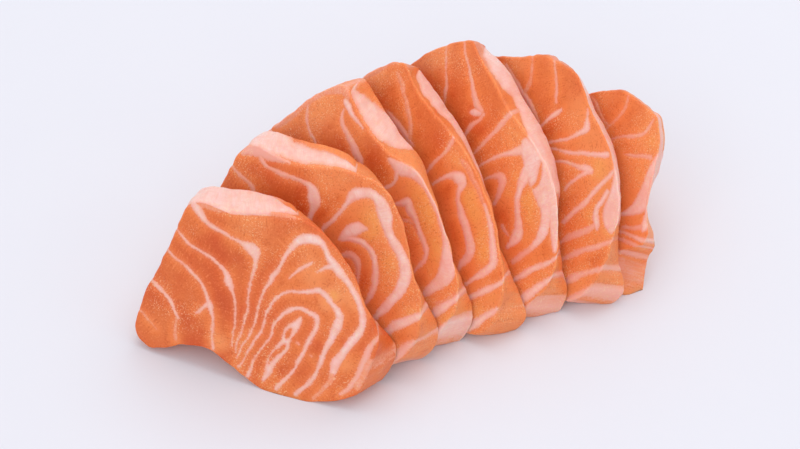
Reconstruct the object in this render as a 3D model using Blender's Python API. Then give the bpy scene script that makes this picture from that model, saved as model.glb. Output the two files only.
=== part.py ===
"""Seven slices of raw salmon, cut from one block and fanned out leaning on each other.

Every slice is a slab with a near cut face, a far cut face and a rounded rim. The
near face lies in a leaning plane: "along" runs with the slice's long edge, from
its tail towards its nose, and "up" climbs the leaning face. The slices share one
soft bend, and each thickens towards its tail, so that it follows the next slice
round the fan. The origin is on the table, under the middle of the whole row.
"""

import math
from typing import NamedTuple

import bmesh
import bpy
import numpy as np

MM = 0.001

# Shared shape of the slices, in millimetres.
BEND_RADIUS_ALONG = 260.0
BEND_RADIUS_UP = 400.0
# Across the rim: share of the thickness, and how far the edge is rounded in there.
RIM_PROFILE = ((0.0, 1.5), (0.06, 0.5), (0.18, 0.0), (0.42, -0.1), (0.72, 0.0), (0.94, 0.3), (1.0, 0.9))
# Rings that fill a cut face, as shares of the way from its middle to its rim.
FACE_RINGS = (0.84, 0.64, 0.42, 0.2)

# How the far outline is shifted against the near one, landmark by landmark: along
# and up, and the share of the slice's own top slant. The knife went through the
# block slantwise, so the rim juts out at the nose and draws back over the brow.
RIM_SLANT = (
    (3.5, 1.0, 0.0),  # nose
    (-3.0, -1.5, 0.0),  # cheek
    (-6.5, -3.0, 0.0),  # brow
    (-7.0, -3.0, 0.0),  # forehead
    (-4.0, -2.2, 0.5),  # front of the crown
    (0.0, -0.8, 1.0),  # crown
    (0.0, 0.0, 1.0),  # back of the crown
    (2.0, -2.2, 1.0),  # shoulder
    (-0.5, 0.0, 0.3),  # back
    (0.0, 0.0, 0.0),  # tail
    (0.0, 0.5, 0.0),  # underside of the tail
    (0.0, -1.5, 0.0),  # belly
    (0.0, 2.2, 0.0),  # heel
    (1.5, 1.2, 0.0),  # toe
    (3.0, -0.4, 0.0),  # chin
)

# Muscle flakes: grooves that ring the near cut face, one depth for each of its
# rings, and ripples along the rim.
GROOVE_DEPTHS = (0.0, 0.35, 0.0, 0.35)
RIPPLE_DEPTH = 0.35
RIPPLE_PITCH = 6.5

# How finely the outlines are drawn: points round a rim, and steps of the smooth
# curve between two landmarks before it is divided evenly.
RIM_POINTS = 52
CURVE_STEPS = 24

FLESH_COLOUR = (0.80, 0.19, 0.06)
FLESH_ROUGHNESS = 0.38


class Slice(NamedTuple):
    """One slice: where it stands, how it leans and the outline of its near face.

    The foot is in millimetres on the table. The fan turns the slice clockwise seen
    from above, and the lean is how steeply its face stands, both in degrees. The
    flare is the thickness gained for each millimetre towards the tail, and the top
    slant shifts the far outline at the top of the slice. A nudge (landmark, along,
    up) shifts it further at one landmark, counted from the nose.
    """

    foot: tuple[float, float]
    fan: float
    lean: float
    thickness: float
    flare: float
    top_slant: tuple[float, float]
    outline: tuple[tuple[float, float], ...]
    nudges: tuple[tuple[int, float, float], ...] = ()


# Each outline has the landmarks of the rim slant, in the same order: from the nose
# over the brow, crown and shoulder to the tail, then back along the sole. They are
# (along, up) from the slice's foot.
SLICES = {
    "slice_1": Slice(
        foot=(-21.7, -49.5), fan=18.0, lean=72.0, thickness=10.0, flare=0.11, top_slant=(-5.5, -1.0),
        outline=(
            (13.0, 11.6), (14.6, 19.5), (10.8, 26.5), (5.5, 35.5), (-3.0, 42.3), (-11.5, 43.4), (-22.0, 41.4),
            (-32.4, 40.8), (-37.4, 28.5), (-45.0, 6.1), (-40.9, 2.2), (-27.0, 6.4), (-12.0, 0.0), (0.9, 0.0),
            (10.2, 4.6),
        ),
    ),
    "slice_2": Slice(
        foot=(-7.2, -42.5), fan=26.0, lean=70.0, thickness=9.35, flare=0.11, top_slant=(-6.2, -0.4),
        nudges=((6, 0.0, 0.5), (14, 0.6, -1.0)),
        outline=(
            (6.8, 9.0), (8.0, 20.5), (4.2, 29.0), (0.0, 39.0), (-7.0, 45.2), (-17.0, 46.0), (-30.0, 43.4),
            (-41.6, 43.6), (-47.7, 31.5), (-55.0, 10.0), (-51.0, 4.4), (-32.0, 6.0), (-16.0, 0.4), (-4.5, 1.4),
            (3.6, 5.3),
        ),
    ),
    "slice_3": Slice(
        foot=(4.4, -37.1), fan=34.0, lean=67.0, thickness=9.35, flare=0.08, top_slant=(-4.2, 1.4),
        nudges=((3, 0.9, 0.4), (4, 0.9, 0.4), (5, 0.5, 0.2), (7, -0.5, -0.6)),
        outline=(
            (1.4, 8.2), (3.6, 18.6), (-0.5, 27.0), (-7.5, 36.0), (-15.0, 41.3), (-25.0, 43.2), (-34.0, 47.6),
            (-41.0, 52.2), (-58.5, 34.0), (-67.0, 16.0), (-62.0, 9.0), (-40.0, 6.0), (-22.0, 1.0), (-9.0, 0.0),
            (-1.0, 3.3),
        ),
    ),
    "slice_4": Slice(
        foot=(15.0, -32.0), fan=40.0, lean=65.0, thickness=9.95, flare=0.07, top_slant=(-5.4, -1.6),
        nudges=((3, 0.4, 0.2), (4, 0.3, 0.2), (5, 0.6, 0.3), (7, -1.0, -0.4)),
        outline=(
            (2.6, 7.4), (3.0, 17.0), (-1.5, 25.0), (-8.6, 33.8), (-16.9, 40.3), (-25.5, 43.5), (-36.5, 47.4),
            (-45.2, 51.8), (-59.5, 38.2), (-70.0, 19.0), (-65.0, 12.0), (-42.0, 7.0), (-22.0, 1.2), (-7.0, 0.0),
            (-0.2, 3.2),
        ),
    ),
    "slice_5": Slice(
        foot=(25.9, -26.7), fan=45.0, lean=63.0, thickness=9.95, flare=0.07, top_slant=(-3.8, 0.0),
        nudges=((3, 1.5, 0.8), (4, 1.9, 1.0), (5, 0.4, 0.2), (6, -1.8, -1.0), (7, -4.0, -2.1)),
        outline=(
            (0.1, 7.3), (3.4, 16.0), (0.1, 25.8), (-6.1, 34.6), (-16.4, 41.0), (-27.5, 44.8), (-37.0, 49.2),
            (-46.8, 52.1), (-62.9, 37.3), (-72.0, 20.0), (-67.0, 13.0), (-44.0, 7.5), (-25.0, 1.6), (-9.5, 0.0),
            (-1.6, 2.5),
        ),
    ),
    "slice_6": Slice(
        foot=(36.7, -21.5), fan=50.0, lean=61.0, thickness=9.9, flare=0.08, top_slant=(-8.2, -3.5),
        nudges=((2, 0.2, 0.1), (3, 0.7, 0.4), (4, 1.0, 0.6)),
        outline=(
            (3.2, 8.6), (4.0, 17.6), (1.2, 28.9), (-6.9, 37.9), (-18.4, 44.4), (-28.3, 49.2), (-38.3, 48.5),
            (-49.5, 43.0), (-57.5, 38.5), (-67.0, 22.0), (-62.0, 14.0), (-40.0, 8.0), (-22.0, 1.8), (-8.0, 0.2),
            (1.2, 4.6),
        ),
    ),
    "slice_7": Slice(
        foot=(47.4, -16.3), fan=56.0, lean=59.0, thickness=8.0, flare=0.04, top_slant=(-6.8, -2.8),
        nudges=((3, 2.3, 1.1), (4, 2.3, 1.8), (5, 1.2, 1.0)),
        outline=(
            (-4.2, 10.0), (1.2, 17.3), (-3.9, 25.0), (-7.2, 31.8), (-10.9, 38.9), (-19.2, 42.2), (-27.5, 41.6),
            (-38.7, 34.6), (-46.0, 27.0), (-50.0, 19.0), (-46.0, 12.0), (-32.0, 7.0), (-20.0, 1.8), (-8.0, 0.0),
            (0.0, 2.6),
        ),
    ),
}


def closed_curve(points, count):
    """Even samples of a smooth closed curve through the points (centripetal).

    The first two columns are the plane; any further ones are carried along.
    """
    points = np.asarray(points, float)
    t = np.linspace(0.0, 1.0, CURVE_STEPS, endpoint=False)[:, None]
    spans = []
    for i in range(len(points)):
        p0, p1, p2, p3 = (points[(i + k) % len(points)] for k in (-1, 0, 1, 2))
        k01, k12, k23 = (math.sqrt(math.dist(a[:2], b[:2])) for a, b in ((p0, p1), (p1, p2), (p2, p3)))
        m1 = (p2 - p1) + k12 * ((p1 - p0) / k01 - (p2 - p0) / (k01 + k12))
        m2 = (p2 - p1) + k12 * ((p3 - p2) / k23 - (p3 - p1) / (k12 + k23))
        spans.append(
            (2 * t**3 - 3 * t**2 + 1) * p1 + (t**3 - 2 * t**2 + t) * m1
            + (3 * t**2 - 2 * t**3) * p2 + (t**3 - t**2) * m2
        )
    fine = np.vstack(spans + [spans[0][:1]])
    length = np.concatenate(([0.0], np.cumsum(np.linalg.norm(np.diff(fine[:, :2], axis=0), axis=1))))
    at = np.linspace(0.0, length[-1], count, endpoint=False)
    return np.stack([np.interp(at, length, column) for column in fine.T], axis=1)


def outward(loop):
    """Unit vectors in the plane that point out of an anticlockwise loop."""
    run = np.roll(loop, -1, axis=0) - np.roll(loop, 1, axis=0)
    normal = np.stack([run[:, 1], -run[:, 0]], axis=1)
    return normal / np.linalg.norm(normal, axis=1, keepdims=True)


def rippled(loop, start):
    """The loop with a whole number of flake ripples along it, from this phase on."""
    around = np.linalg.norm(np.roll(loop, -1, axis=0) - loop, axis=1).sum()
    count = round(around / RIPPLE_PITCH)
    phase = start + 2 * math.pi * count * np.arange(len(loop)) / len(loop)
    return loop + outward(loop) * (RIPPLE_DEPTH * np.sin(phase))[:, None]


def bend(plane):
    """How far the shared bend sets a point of the slab back, in millimetres."""
    along = np.maximum(0.0, -plane[:, 0])
    up = np.maximum(0.0, plane[:, 1])
    return along**2 / (2 * BEND_RADIUS_ALONG) + up**2 / (2 * BEND_RADIUS_UP)


def slab_points(piece, plane, share, sunk=0.0):
    """Points of the slab in its own frame, at this share of the way to the far face."""
    thickness = piece.thickness + piece.flare * np.maximum(0.0, -plane[:, 0])
    depth = thickness * share + bend(plane) + sunk
    return np.stack([plane[:, 0], plane[:, 1], -depth], axis=1)


def standing_frame(piece):
    """Rotation of a slice: leaned back about its long edge, then turned in the fan."""
    fan, lean = math.radians(-piece.fan), math.radians(piece.lean)
    turn = np.array([[math.cos(fan), -math.sin(fan), 0], [math.sin(fan), math.cos(fan), 0], [0, 0, 1]])
    tilt = np.array([[1, 0, 0], [0, math.cos(lean), -math.sin(lean)], [0, math.sin(lean), math.cos(lean)]])
    return turn @ tilt


def flatten_sole(piece, points):
    """The points with whatever would sink into the table pressed flat onto it."""
    frame = standing_frame(piece)
    standing = points @ frame.T
    standing[:, 2] = np.maximum(standing[:, 2], 0.0)
    return standing @ frame


def slice_rings(piece):
    """Rings of points from the near face's middle over the rim to the far one, and both middles."""
    slant = np.array([(a + share * piece.top_slant[0], u + share * piece.top_slant[1]) for a, u, share in RIM_SLANT])
    for landmark, along, up in piece.nudges:
        slant[landmark] += along, up
    curve = closed_curve(np.hstack([piece.outline, slant]), RIM_POINTS)
    plain, shift = curve[:, :2], curve[:, 2:]
    loop, normal = rippled(plain, start=piece.fan), outward(plain)

    rims = [loop + shift * share - normal * inset for share, inset in RIM_PROFILE]
    near_middle, far_middle = rims[0].mean(axis=0), rims[-1].mean(axis=0)
    near = [
        slab_points(piece, near_middle + ring * (rims[0] - near_middle), 0.0, groove)
        for ring, groove in reversed(list(zip(FACE_RINGS, GROOVE_DEPTHS)))
    ]
    rim = [slab_points(piece, plane, share) for plane, (share, _) in zip(rims, RIM_PROFILE)]
    far = [slab_points(piece, far_middle + ring * (rims[-1] - far_middle), 1.0) for ring in FACE_RINGS]
    middles = [slab_points(piece, near_middle[None, :], 0.0), slab_points(piece, far_middle[None, :], 1.0)]
    return near + rim + far, middles


def fill_between(mesh, one, two):
    """Join two rings with triangles, across the shorter diagonal of each square."""
    for i in range(RIM_POINTS):
        j = (i + 1) % RIM_POINTS
        if (one[i].co - two[j].co).length < (one[j].co - two[i].co).length:
            mesh.faces.new((one[i], two[i], two[j]))
            mesh.faces.new((one[i], two[j], one[j]))
        else:
            mesh.faces.new((one[i], two[i], one[j]))
            mesh.faces.new((one[j], two[i], two[j]))


def build_slice(name, piece):
    """Make one slice's mesh object and stand it in its place in the fan."""
    rings, middles = slice_rings(piece)
    mesh = bmesh.new()
    rows = [[mesh.verts.new(p * MM) for p in flatten_sole(piece, ring)] for ring in rings]
    near, far = (mesh.verts.new(flatten_sole(piece, middle)[0] * MM) for middle in middles)
    for i in range(RIM_POINTS):
        j = (i + 1) % RIM_POINTS
        mesh.faces.new((near, rows[0][i], rows[0][j]))
        mesh.faces.new((far, rows[-1][j], rows[-1][i]))
    for one, two in zip(rows, rows[1:]):
        fill_between(mesh, one, two)
    bmesh.ops.recalc_face_normals(mesh, faces=mesh.faces)

    data = bpy.data.meshes.new(name)
    mesh.to_mesh(data)
    mesh.free()
    data.shade_smooth()
    slab = bpy.data.objects.new(name, data)
    bpy.context.scene.collection.objects.link(slab)
    slab.location = (piece.foot[0] * MM, piece.foot[1] * MM, 0.0)
    slab.rotation_euler = (math.radians(piece.lean), 0.0, math.radians(-piece.fan))
    slab.data.materials.append(flesh_material(name))
    return slab


def flesh_material(name):
    """Moist raw salmon for one slice."""
    material = bpy.data.materials.new(f"salmon_flesh_{name}")
    material.use_nodes = True
    shader = material.node_tree.nodes["Principled BSDF"]
    shader.inputs["Base Color"].default_value = (*FLESH_COLOUR, 1.0)
    shader.inputs["Roughness"].default_value = FLESH_ROUGHNESS
    shader.inputs["Metallic"].default_value = 0.0
    return material


def main():
    """Clear the scene and build the fan of slices."""
    for old in list(bpy.data.objects):
        bpy.data.objects.remove(old, do_unlink=True)
    row = bpy.data.objects.new("salmon_sashimi", None)
    bpy.context.scene.collection.objects.link(row)
    for name, piece in SLICES.items():
        build_slice(name, piece).parent = row


main()
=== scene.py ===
"""Salmon sashimi: seven thick slices of raw salmon fanned out on a pale table.

Every slice stands in for its CAD node. It is a slab with a near cut face, a rim and
a far cut face, built from the same named sizes as the CAD part, only far finer. The
lines of fat are drawn in each slice's own plane, "along" towards the nose
and "up" the leaning face, both in millimetres from the slice's foot.
"""

import logging
import math
from dataclasses import dataclass, field
from enum import Enum
from functools import partial

import bpy
import numpy as np
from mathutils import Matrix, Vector, geometry

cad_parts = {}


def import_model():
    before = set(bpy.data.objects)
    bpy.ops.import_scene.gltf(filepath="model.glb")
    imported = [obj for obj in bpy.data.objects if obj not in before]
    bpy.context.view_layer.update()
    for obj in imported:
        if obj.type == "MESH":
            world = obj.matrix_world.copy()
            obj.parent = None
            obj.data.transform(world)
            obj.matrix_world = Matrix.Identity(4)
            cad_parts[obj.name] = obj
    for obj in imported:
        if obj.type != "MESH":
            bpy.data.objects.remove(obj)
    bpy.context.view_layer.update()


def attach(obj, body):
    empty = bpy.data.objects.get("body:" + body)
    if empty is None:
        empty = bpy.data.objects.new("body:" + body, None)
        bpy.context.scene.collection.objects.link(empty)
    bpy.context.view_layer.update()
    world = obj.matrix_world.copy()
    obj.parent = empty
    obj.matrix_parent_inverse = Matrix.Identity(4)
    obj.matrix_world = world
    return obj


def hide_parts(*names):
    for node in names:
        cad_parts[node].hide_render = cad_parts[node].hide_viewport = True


LOG = logging.getLogger("salmon_sashimi")
MM = 0.001

Point = tuple[float, float]
Stop = tuple[float, float, float]
Spot = tuple[float, float, float, float]
Colour = tuple[float, float, float]


class Tone(Enum):
    """How pale a line of fat is, from barely lighter than the flesh to nearly white."""

    FLESH = -1.0
    FAINT = 0.3
    ROSE = 0.6
    PALE = 0.85
    WHITE = 1.0


@dataclass(frozen=True)
class FatLine:
    """One line of fat on a cut face.

    The stops are (along, up, half width). A line whose tone is FLESH is a streak of
    meat left inside a broad patch of fat.
    """

    tone: Tone
    stops: tuple[Stop, ...]


def line(tone: Tone, *stops: Stop) -> FatLine:
    """A line of fat through these stops."""
    return FatLine(tone, stops)


flesh, faint, rose, pale, white = (partial(line, tone) for tone in Tone)


@dataclass(frozen=True)
class SliceCut:
    """One slice as it was cut, in millimetres and degrees.

    Attributes:
        name: the CAD node that it replaces.
        foot: where it stands on the table.
        fan: its turn, clockwise seen from above.
        lean: how steeply its face stands.
        thickness: its thickness at the nose.
        flare: the thickness gained for each millimetre towards the tail.
        top_slant: how far the far outline is shifted at the top.
        outline: the landmarks round its near face, anticlockwise.
        lines: the fat that the cut shows.
        crown_fat: (along, begin, end) of the fat on the upper rim, the last two in
            shares of the thickness.
        nudges: (landmark, along, up), a shift of the far outline at one landmark.
        peaks: (along, up, reach, height) where the rim stands out or in.
        carried: the numbers of the first slice's lines that run on through this one.
        broad: factor on the half width of every line.
        swell: what every line gains in half width besides.
        crown_tone: how pale the crown fat is.
        paler_with_painted_light: how much lighter its meat is towards the nose, partly its own tone and
            partly
        painted light that lifts the slices behind the first out of their shade.
        tints: (along, up, reach, amount), yellower above 0 and deeper red below it.
    """

    name: str
    foot: Point
    fan: float
    lean: float
    thickness: float
    flare: float
    top_slant: Point
    outline: tuple[Point, ...]
    lines: tuple[FatLine, ...]
    crown_fat: tuple[Stop, ...]
    nudges: tuple[tuple[int, float, float], ...] = ()
    peaks: tuple[Spot, ...] = ()
    carried: tuple[int, ...] = ()
    broad: float = 1.2
    swell: float = 0.03
    crown_tone: Tone = Tone.PALE
    paler_with_painted_light: float = 0.5
    tints: tuple[Spot, ...] = ()


FIRST = SliceCut(
    name="slice_1", foot=(-21.7, -49.5), fan=18.0, lean=72.0, thickness=10.0, flare=0.11,
    top_slant=(-5.5, -1),
    outline=(
        (13, 11.6), (14.6, 19.5), (10.8, 26.5), (5.5, 35.5), (-3, 42.3), (-11.5, 43.4), (-22, 41.4),
        (-32.4, 40.8), (-37.4, 28.5), (-45, 6.1), (-40.9, 2.2), (-27, 6.4), (-12, 0), (0.9, 0), (10.2, 4.6),
    ),
    lines=(
        # 0: tip of the tail
        faint((-45, 11, 0.2), (-42.9, 10.2, 0.2), (-41.2, 8.9, 0.2), (-39.4, 7.5, 0.1)),
        # 1: tail
        pale((-42.2, 19.6, 0.3), (-40.7, 18.9, 0.45), (-39.3, 18.1, 0.5), (-37.6, 17.2, 0.5),
             (-36.1, 15.9, 0.55), (-35, 14, 0.5), (-33.8, 12.1, 0.4)),
        # 2: its faint end at the belly
        faint((-34, 11.8, 0.3), (-34.2, 9.5, 0.35), (-34, 6.5, 0.4)),
        # 3: the long line before the heel
        pale((-38, 28, 0.25), (-35.9, 26.6, 0.3), (-33.4, 25.6, 0.3), (-31.5, 24.6, 0.42),
             (-29.8, 23.3, 0.35), (-28.4, 22, 0.32), (-27.3, 20.4, 0.4), (-26.5, 18.8, 0.6),
             (-25.8, 17.2, 0.85), (-25.3, 15.4, 0.45), (-25, 13.2, 0.3), (-24.9, 10.5, 0.25),
             (-24.5, 7, 0.4)),
        # 4: its spur
        pale((-26.3, 17.6, 0.6), (-27.6, 16.2, 0.45), (-29.4, 14.6, 0.15)),
        # 5: the line with the ragged knee
        pale((-35.6, 33.2, 0.2), (-33.9, 31.7, 0.35), (-32.9, 31, 0.45), (-31.8, 30.4, 0.35),
             (-30.2, 30, 0.3), (-28.4, 29.5, 0.35), (-26.6, 28.9, 0.35), (-24.9, 27.9, 0.42),
             (-23.5, 26.8, 0.6), (-22.6, 25.6, 0.8), (-22.1, 24.5, 0.95), (-21.2, 23.3, 0.6),
             (-20.4, 21.9, 0.32), (-19.8, 20, 0.28), (-19.6, 17, 0.25), (-19.7, 12.5, 0.22),
             (-19.6, 9, 0.18)),
        # 6: the line with the filled corner
        pale((-33, 41.6, 1), (-31.2, 39.6, 1.1), (-29.8, 38, 0.85), (-28.4, 36.8, 0.55), (-26.5, 36.1, 0.5),
             (-24.4, 35.4, 0.42), (-21.9, 34.7, 0.4), (-20, 34.4, 0.5), (-18.4, 34, 0.85),
             (-17.1, 33.4, 1.25), (-16.2, 32.9, 1.3), (-15.8, 31.6, 0.75), (-15.8, 29.8, 0.38),
             (-16.1, 27.6, 0.32), (-16.5, 24.8, 0.3), (-16.8, 21, 0.28), (-17, 17.4, 0.28),
             (-17.7, 13.4, 0.22), (-18.4, 10.4, 0.2), (-18.8, 7.4, 0.15)),
        # 7: the soft border under the crown fat
        faint((-31, 40.6, 0.7), (-26, 40.8, 0.9), (-20, 41.6, 1), (-14, 42.8, 0.9), (-8, 43, 0.5)),
        # 8: the outermost loop
        white((-18.4, 6.4, 0.15), (-17.2, 9.6, 0.2), (-15.8, 12.6, 0.22), (-14.9, 15.6, 0.25),
              (-14.5, 19, 0.28), (-14, 21.8, 0.3), (-12.9, 25.2, 0.38), (-11.6, 27.8, 0.5),
              (-10.5, 30, 0.45), (-9.5, 32.6, 0.4), (-8.6, 34.6, 0.5), (-7.4, 36.5, 0.8), (-5.8, 38.1, 1.1),
              (-3.6, 38.9, 1.2), (-1.6, 38.7, 0.95), (-0.2, 37.5, 0.6), (0.9, 35.8, 0.75), (2.3, 34, 1.15),
              (4.6, 31.9, 0.95), (6.8, 29.8, 0.75), (8.4, 27.6, 0.75), (9.7, 24.6, 0.8), (10, 21.8, 0.85),
              (9.1, 19.3, 1), (8, 17.3, 1), (6.9, 15.2, 0.9), (5.9, 13.1, 1), (4.9, 11.2, 1.1),
              (4.5, 9.2, 0.9), (4.3, 7.9, 0.55)),
        # 9: its peach end
        faint((4.4, 8.6, 0.7), (4.1, 6.6, 0.6), (3.1, 4.9, 0.5), (2.1, 3.2, 0.45), (0.6, 1.2, 0.4)),
        # 10: spur inside it
        white((2.2, 34, 0.9), (0.3, 33, 0.45), (-1.4, 31.8, 0.2)),
        # 11: short dash
        white((-7.6, 28.8, 0.2), (-6.3, 30.5, 0.35), (-4.7, 32.2, 0.45), (-2.9, 33.6, 0.3)),
        # 12: the second loop
        white((-17.8, 4.4, 0.2), (-16.9, 6, 0.25), (-15.7, 8.8, 0.25), (-14.4, 11.6, 0.28),
              (-13.3, 14, 0.3), (-12.6, 17, 0.28), (-11.9, 20, 0.32), (-10.9, 22.4, 0.38),
              (-9.2, 24.6, 0.4), (-7.2, 25.6, 0.38), (-4.8, 26.2, 0.4), (-2.4, 26.9, 0.55),
              (-0.4, 27.6, 0.8), (0.9, 26.8, 0.8), (2.6, 25.2, 0.6), (4.2, 23.8, 0.75), (4.9, 22.2, 0.95),
              (4.4, 20.2, 1), (3.7, 18.2, 0.85), (2.9, 15.7, 0.75), (2.1, 13, 0.62), (1.3, 10, 0.55),
              (0.6, 7.8, 0.45), (-0.3, 5.8, 0.5), (-1.6, 3.4, 0.55), (-3.7, 1, 0.55)),
        # 13: the third loop
        white((-15.3, 2.6, 0.5), (-14.9, 4.6, 0.35), (-13.9, 7.6, 0.3), (-12.3, 10.8, 0.28),
              (-10.9, 13.6, 0.28), (-10.3, 16.2, 0.3), (-9.4, 18.4, 0.4), (-7.9, 20.4, 0.55),
              (-6.2, 21.8, 0.55), (-4.2, 22.4, 0.5), (-2.2, 22, 0.6), (-0.7, 21.2, 0.65), (-0.4, 19.2, 0.5),
              (-1, 16.8, 0.5), (-1.7, 14.8, 0.52), (-2.5, 12.4, 0.45), (-3.4, 9.9, 0.48), (-4.4, 7.4, 0.35),
              (-5.6, 5.2, 0.42), (-7, 3.5, 0.5), (-8.4, 1.2, 0.45)),
        # 14: the eye
        white((-4, 20.2, 0.3), (-4.6, 19, 0.75), (-5.2, 17.8, 1.1), (-6.1, 16.4, 1.25), (-6.7, 15, 1.2),
              (-7.1, 13.6, 1.1), (-7.7, 12, 1.3), (-8.5, 10.4, 1.25), (-9.3, 8.9, 1.15), (-10, 7.3, 1.05),
              (-10.5, 5.7, 0.9), (-10.9, 4.2, 0.7), (-11.7, 2.6, 0.45)),
        # 15 and 16: meat left inside the eye, above and below
        flesh((-5.9, 17, 0.1), (-6.3, 16.2, 0.55), (-6.7, 15.2, 0.6), (-6.9, 14.4, 0.1)),
        flesh((-7.1, 13.1, 0.1), (-7.5, 12.3, 0.5), (-8.3, 11, 0.6), (-9.3, 9.6, 0.55), (-10.1, 8.2, 0.4),
              (-10.6, 7, 0.1)),
        # 17 and 18: two specks
        rose((-4.2, 13.9, 0.3), (-3.9, 13.7, 0.3)),
        faint((-0.9, 11.7, 0.2), (-0.7, 11.5, 0.2)),
        # 19 and 20: the broad stripe on the nose and the faint one beside it
        rose((15.4, 21.6, 0.4), (13.4, 18.9, 0.6), (12.2, 16.4, 0.75), (11.3, 13.4, 0.8), (10.6, 10.4, 0.8),
             (9.7, 7.6, 0.75), (8.4, 5.4, 0.6), (6.8, 3.8, 0.4)),
        faint((12.6, 13.4, 0.9), (11.7, 10, 1), (10.4, 6.8, 0.9)),
    ),
    broad=1.0,
    swell=-0.06,
    crown_fat=(
        (-39, 1, 1), (-36, 0.35, 1), (-32, -0.1, 1.2), (-28, -0.1, 1.2), (-22, -0.1, 1.2),
        (-15, -0.06, 1.2), (-12, 0.02, 1), (-9, 0.14, 0.7), (-6, 0.3, 0.45), (-4, 1, 1),
    ),
    paler_with_painted_light=0.0,
    tints=(
        (2.6, 26.9, 1.8, 1), (4.6, 28.4, 2.6, 0.6), (-2, 30.5, 3.5, 0.6), (-23, 9, 2.6, 0.7),
        (-18, 39.5, 7, 0.4), (8, 26.5, 2, 0.6), (7.6, 11.5, 2.2, 0.5), (-4, 35.8, 3, 0.35),
        (-22, 19.5, 3.4, -0.7), (-26, 31.5, 4.6, -0.45), (-20, 31.5, 3, -0.4), (-30.5, 12, 4, -0.3),
        (-4, 8, 4, -0.45), (0.5, 14, 2.2, -0.5), (-6.6, 5.6, 2, -0.2), (-38, 12, 3.4, 0.1),
        (1.4, 24.4, 1.8, 0.7), (-29, 5.6, 2.5, -0.6),
    ),
)

SECOND = SliceCut(
    name="slice_2", foot=(-7.2, -42.5), fan=26.0, lean=70.0, thickness=9.35, flare=0.11,
    top_slant=(-6.2, -0.4),
    nudges=((6, 0, 0.5), (14, 0.6, -1)),
    outline=(
        (6.8, 9), (8, 20.5), (4.2, 29), (0, 39), (-7, 45.2), (-17, 46), (-30, 43.4), (-41.6, 43.6),
        (-47.7, 31.5), (-55, 10), (-51, 4.4), (-32, 6), (-16, 0.4), (-4.5, 1.4), (3.6, 5.3),
    ),
    lines=(
        rose((-46, 37.2, 0.2), (-44.6, 36.2, 0.22), (-42.6, 35.4, 0.28), (-40.8, 35, 0.28),
             (-39.2, 34.2, 0.4), (-37.6, 31, 0.25), (-35, 22, 0.2), (-33.4, 12, 0.2), (-32.8, 5, 0.2)),
        rose((-43.4, 40.6, 0.3), (-41.4, 42.2, 1), (-38.6, 42.8, 1.15), (-35.6, 42.8, 0.9),
             (-32.6, 42.8, 0.5), (-30.6, 42.9, 0.2)),
        rose((-38.4, 41.6, 0.5), (-37.6, 40.9, 0.55), (-36, 40.2, 0.35), (-33.8, 40, 0.34),
             (-31.6, 39.8, 0.42), (-29.2, 39.9, 0.42), (-27, 39.9, 0.42), (-25.4, 39.7, 0.5)),
        pale((-25.6, 39.8, 0.4), (-24.2, 39.2, 0.7), (-23.2, 38.2, 1.2), (-22.7, 37, 1.45),
             (-22.5, 35.6, 1), (-22.5, 34.2, 0.6), (-22.8, 32.4, 0.45), (-24, 24, 0.3), (-25, 14, 0.25),
             (-26, 3, 0.2)),
        white((-21.6, 22, 0.25), (-20.4, 27.6, 0.25), (-18.9, 31.1, 0.3), (-17, 34, 0.34),
              (-15.3, 36.7, 0.4), (-14.1, 39.2, 0.55), (-13.2, 40.9, 0.95), (-11.6, 41.8, 1),
              (-9.4, 42.4, 0.85), (-7.7, 42.1, 0.95), (-6.2, 40.8, 1.3), (-5, 39, 1.45), (-4, 36.7, 1.1),
              (-2.2, 34, 0.9), (0.1, 31.8, 1), (1.8, 29.7, 1.05), (2.4, 27.4, 1.15), (2.4, 25.2, 1.2),
              (1.9, 23, 1.1), (0.8, 21, 1), (-0.3, 19, 0.9), (-1.5, 16.8, 0.75), (-2.6, 14.6, 0.45)),
        white((-14.6, 29.9, 0.3), (-13.2, 31.6, 0.95), (-11.7, 33.1, 1.25), (-10.2, 34.2, 0.85),
              (-8.6, 34.4, 0.25)),
        white((-14, 30.2, 0.4), (-11.8, 30.8, 0.5), (-9.4, 31.1, 0.58), (-7.4, 30.3, 0.58),
              (-5.9, 28.8, 0.55), (-4.9, 26.6, 0.55), (-4.3, 24.2, 0.7), (-4.3, 21.6, 0.62), (-5, 19, 0.42),
              (-5.8, 16.8, 0.2)),
        rose((-13.2, 26.6, 0.4), (-11.6, 27.2, 0.6), (-10.2, 27, 0.7), (-9.2, 25.8, 0.6),
             (-8.7, 24.2, 0.42), (-8.5, 21.8, 0.25)),
        pale((8.6, 19.6, 0.5), (6.7, 18.2, 0.8), (5.2, 17, 0.9), (3.6, 15.7, 0.95), (2.2, 14.4, 0.9),
             (1.1, 12.9, 0.75), (0, 11, 0.7), (-1.4, 7.5, 0.6), (-2.4, 4, 0.5)),
        rose((7.4, 12, 0.5), (5.6, 10.2, 0.8), (4.4, 8.2, 0.9), (2.6, 5.4, 0.8), (1.2, 2.4, 0.6)),
    ),
    carried=(0, 1, 3),
    crown_fat=(
        (-46, 1, 1), (-43.5, 0.25, 1.2), (-41, -0.1, 1.2), (-36, -0.1, 1.2), (-33, 0.05, 1),
        (-30, 0.09, 0.87), (-26, 0.11, 0.78), (-22, 0.09, 0.72), (-18, 0.07, 0.67), (-15, 0.1, 0.58),
        (-13, 0.2, 0.45), (-11.5, 1, 1),
    ),
    paler_with_painted_light=0.4,
    tints=(
        (-7.5, 37, 3.6, 1), (-8, 33.4, 2.6, 0.8), (5.9, 18.8, 1.6, 1), (-1.5, 28.5, 3, 0.8),
        (-20, 42.5, 5, 0.4), (-31, 36.8, 5, -0.4), (-25.6, 36.4, 3.4, -0.45), (-20, 34.5, 3, -0.25),
        (-12, 28.8, 2.6, -0.25), (-7, 22, 2.4, -0.25), (4.6, 11.8, 1.8, -0.3), (-2, 23, 2.4, 0.4),
        (-16.6, 39, 2.4, -0.15), (-13.5, 37.2, 2, 0.2),
    ),
)

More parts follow.
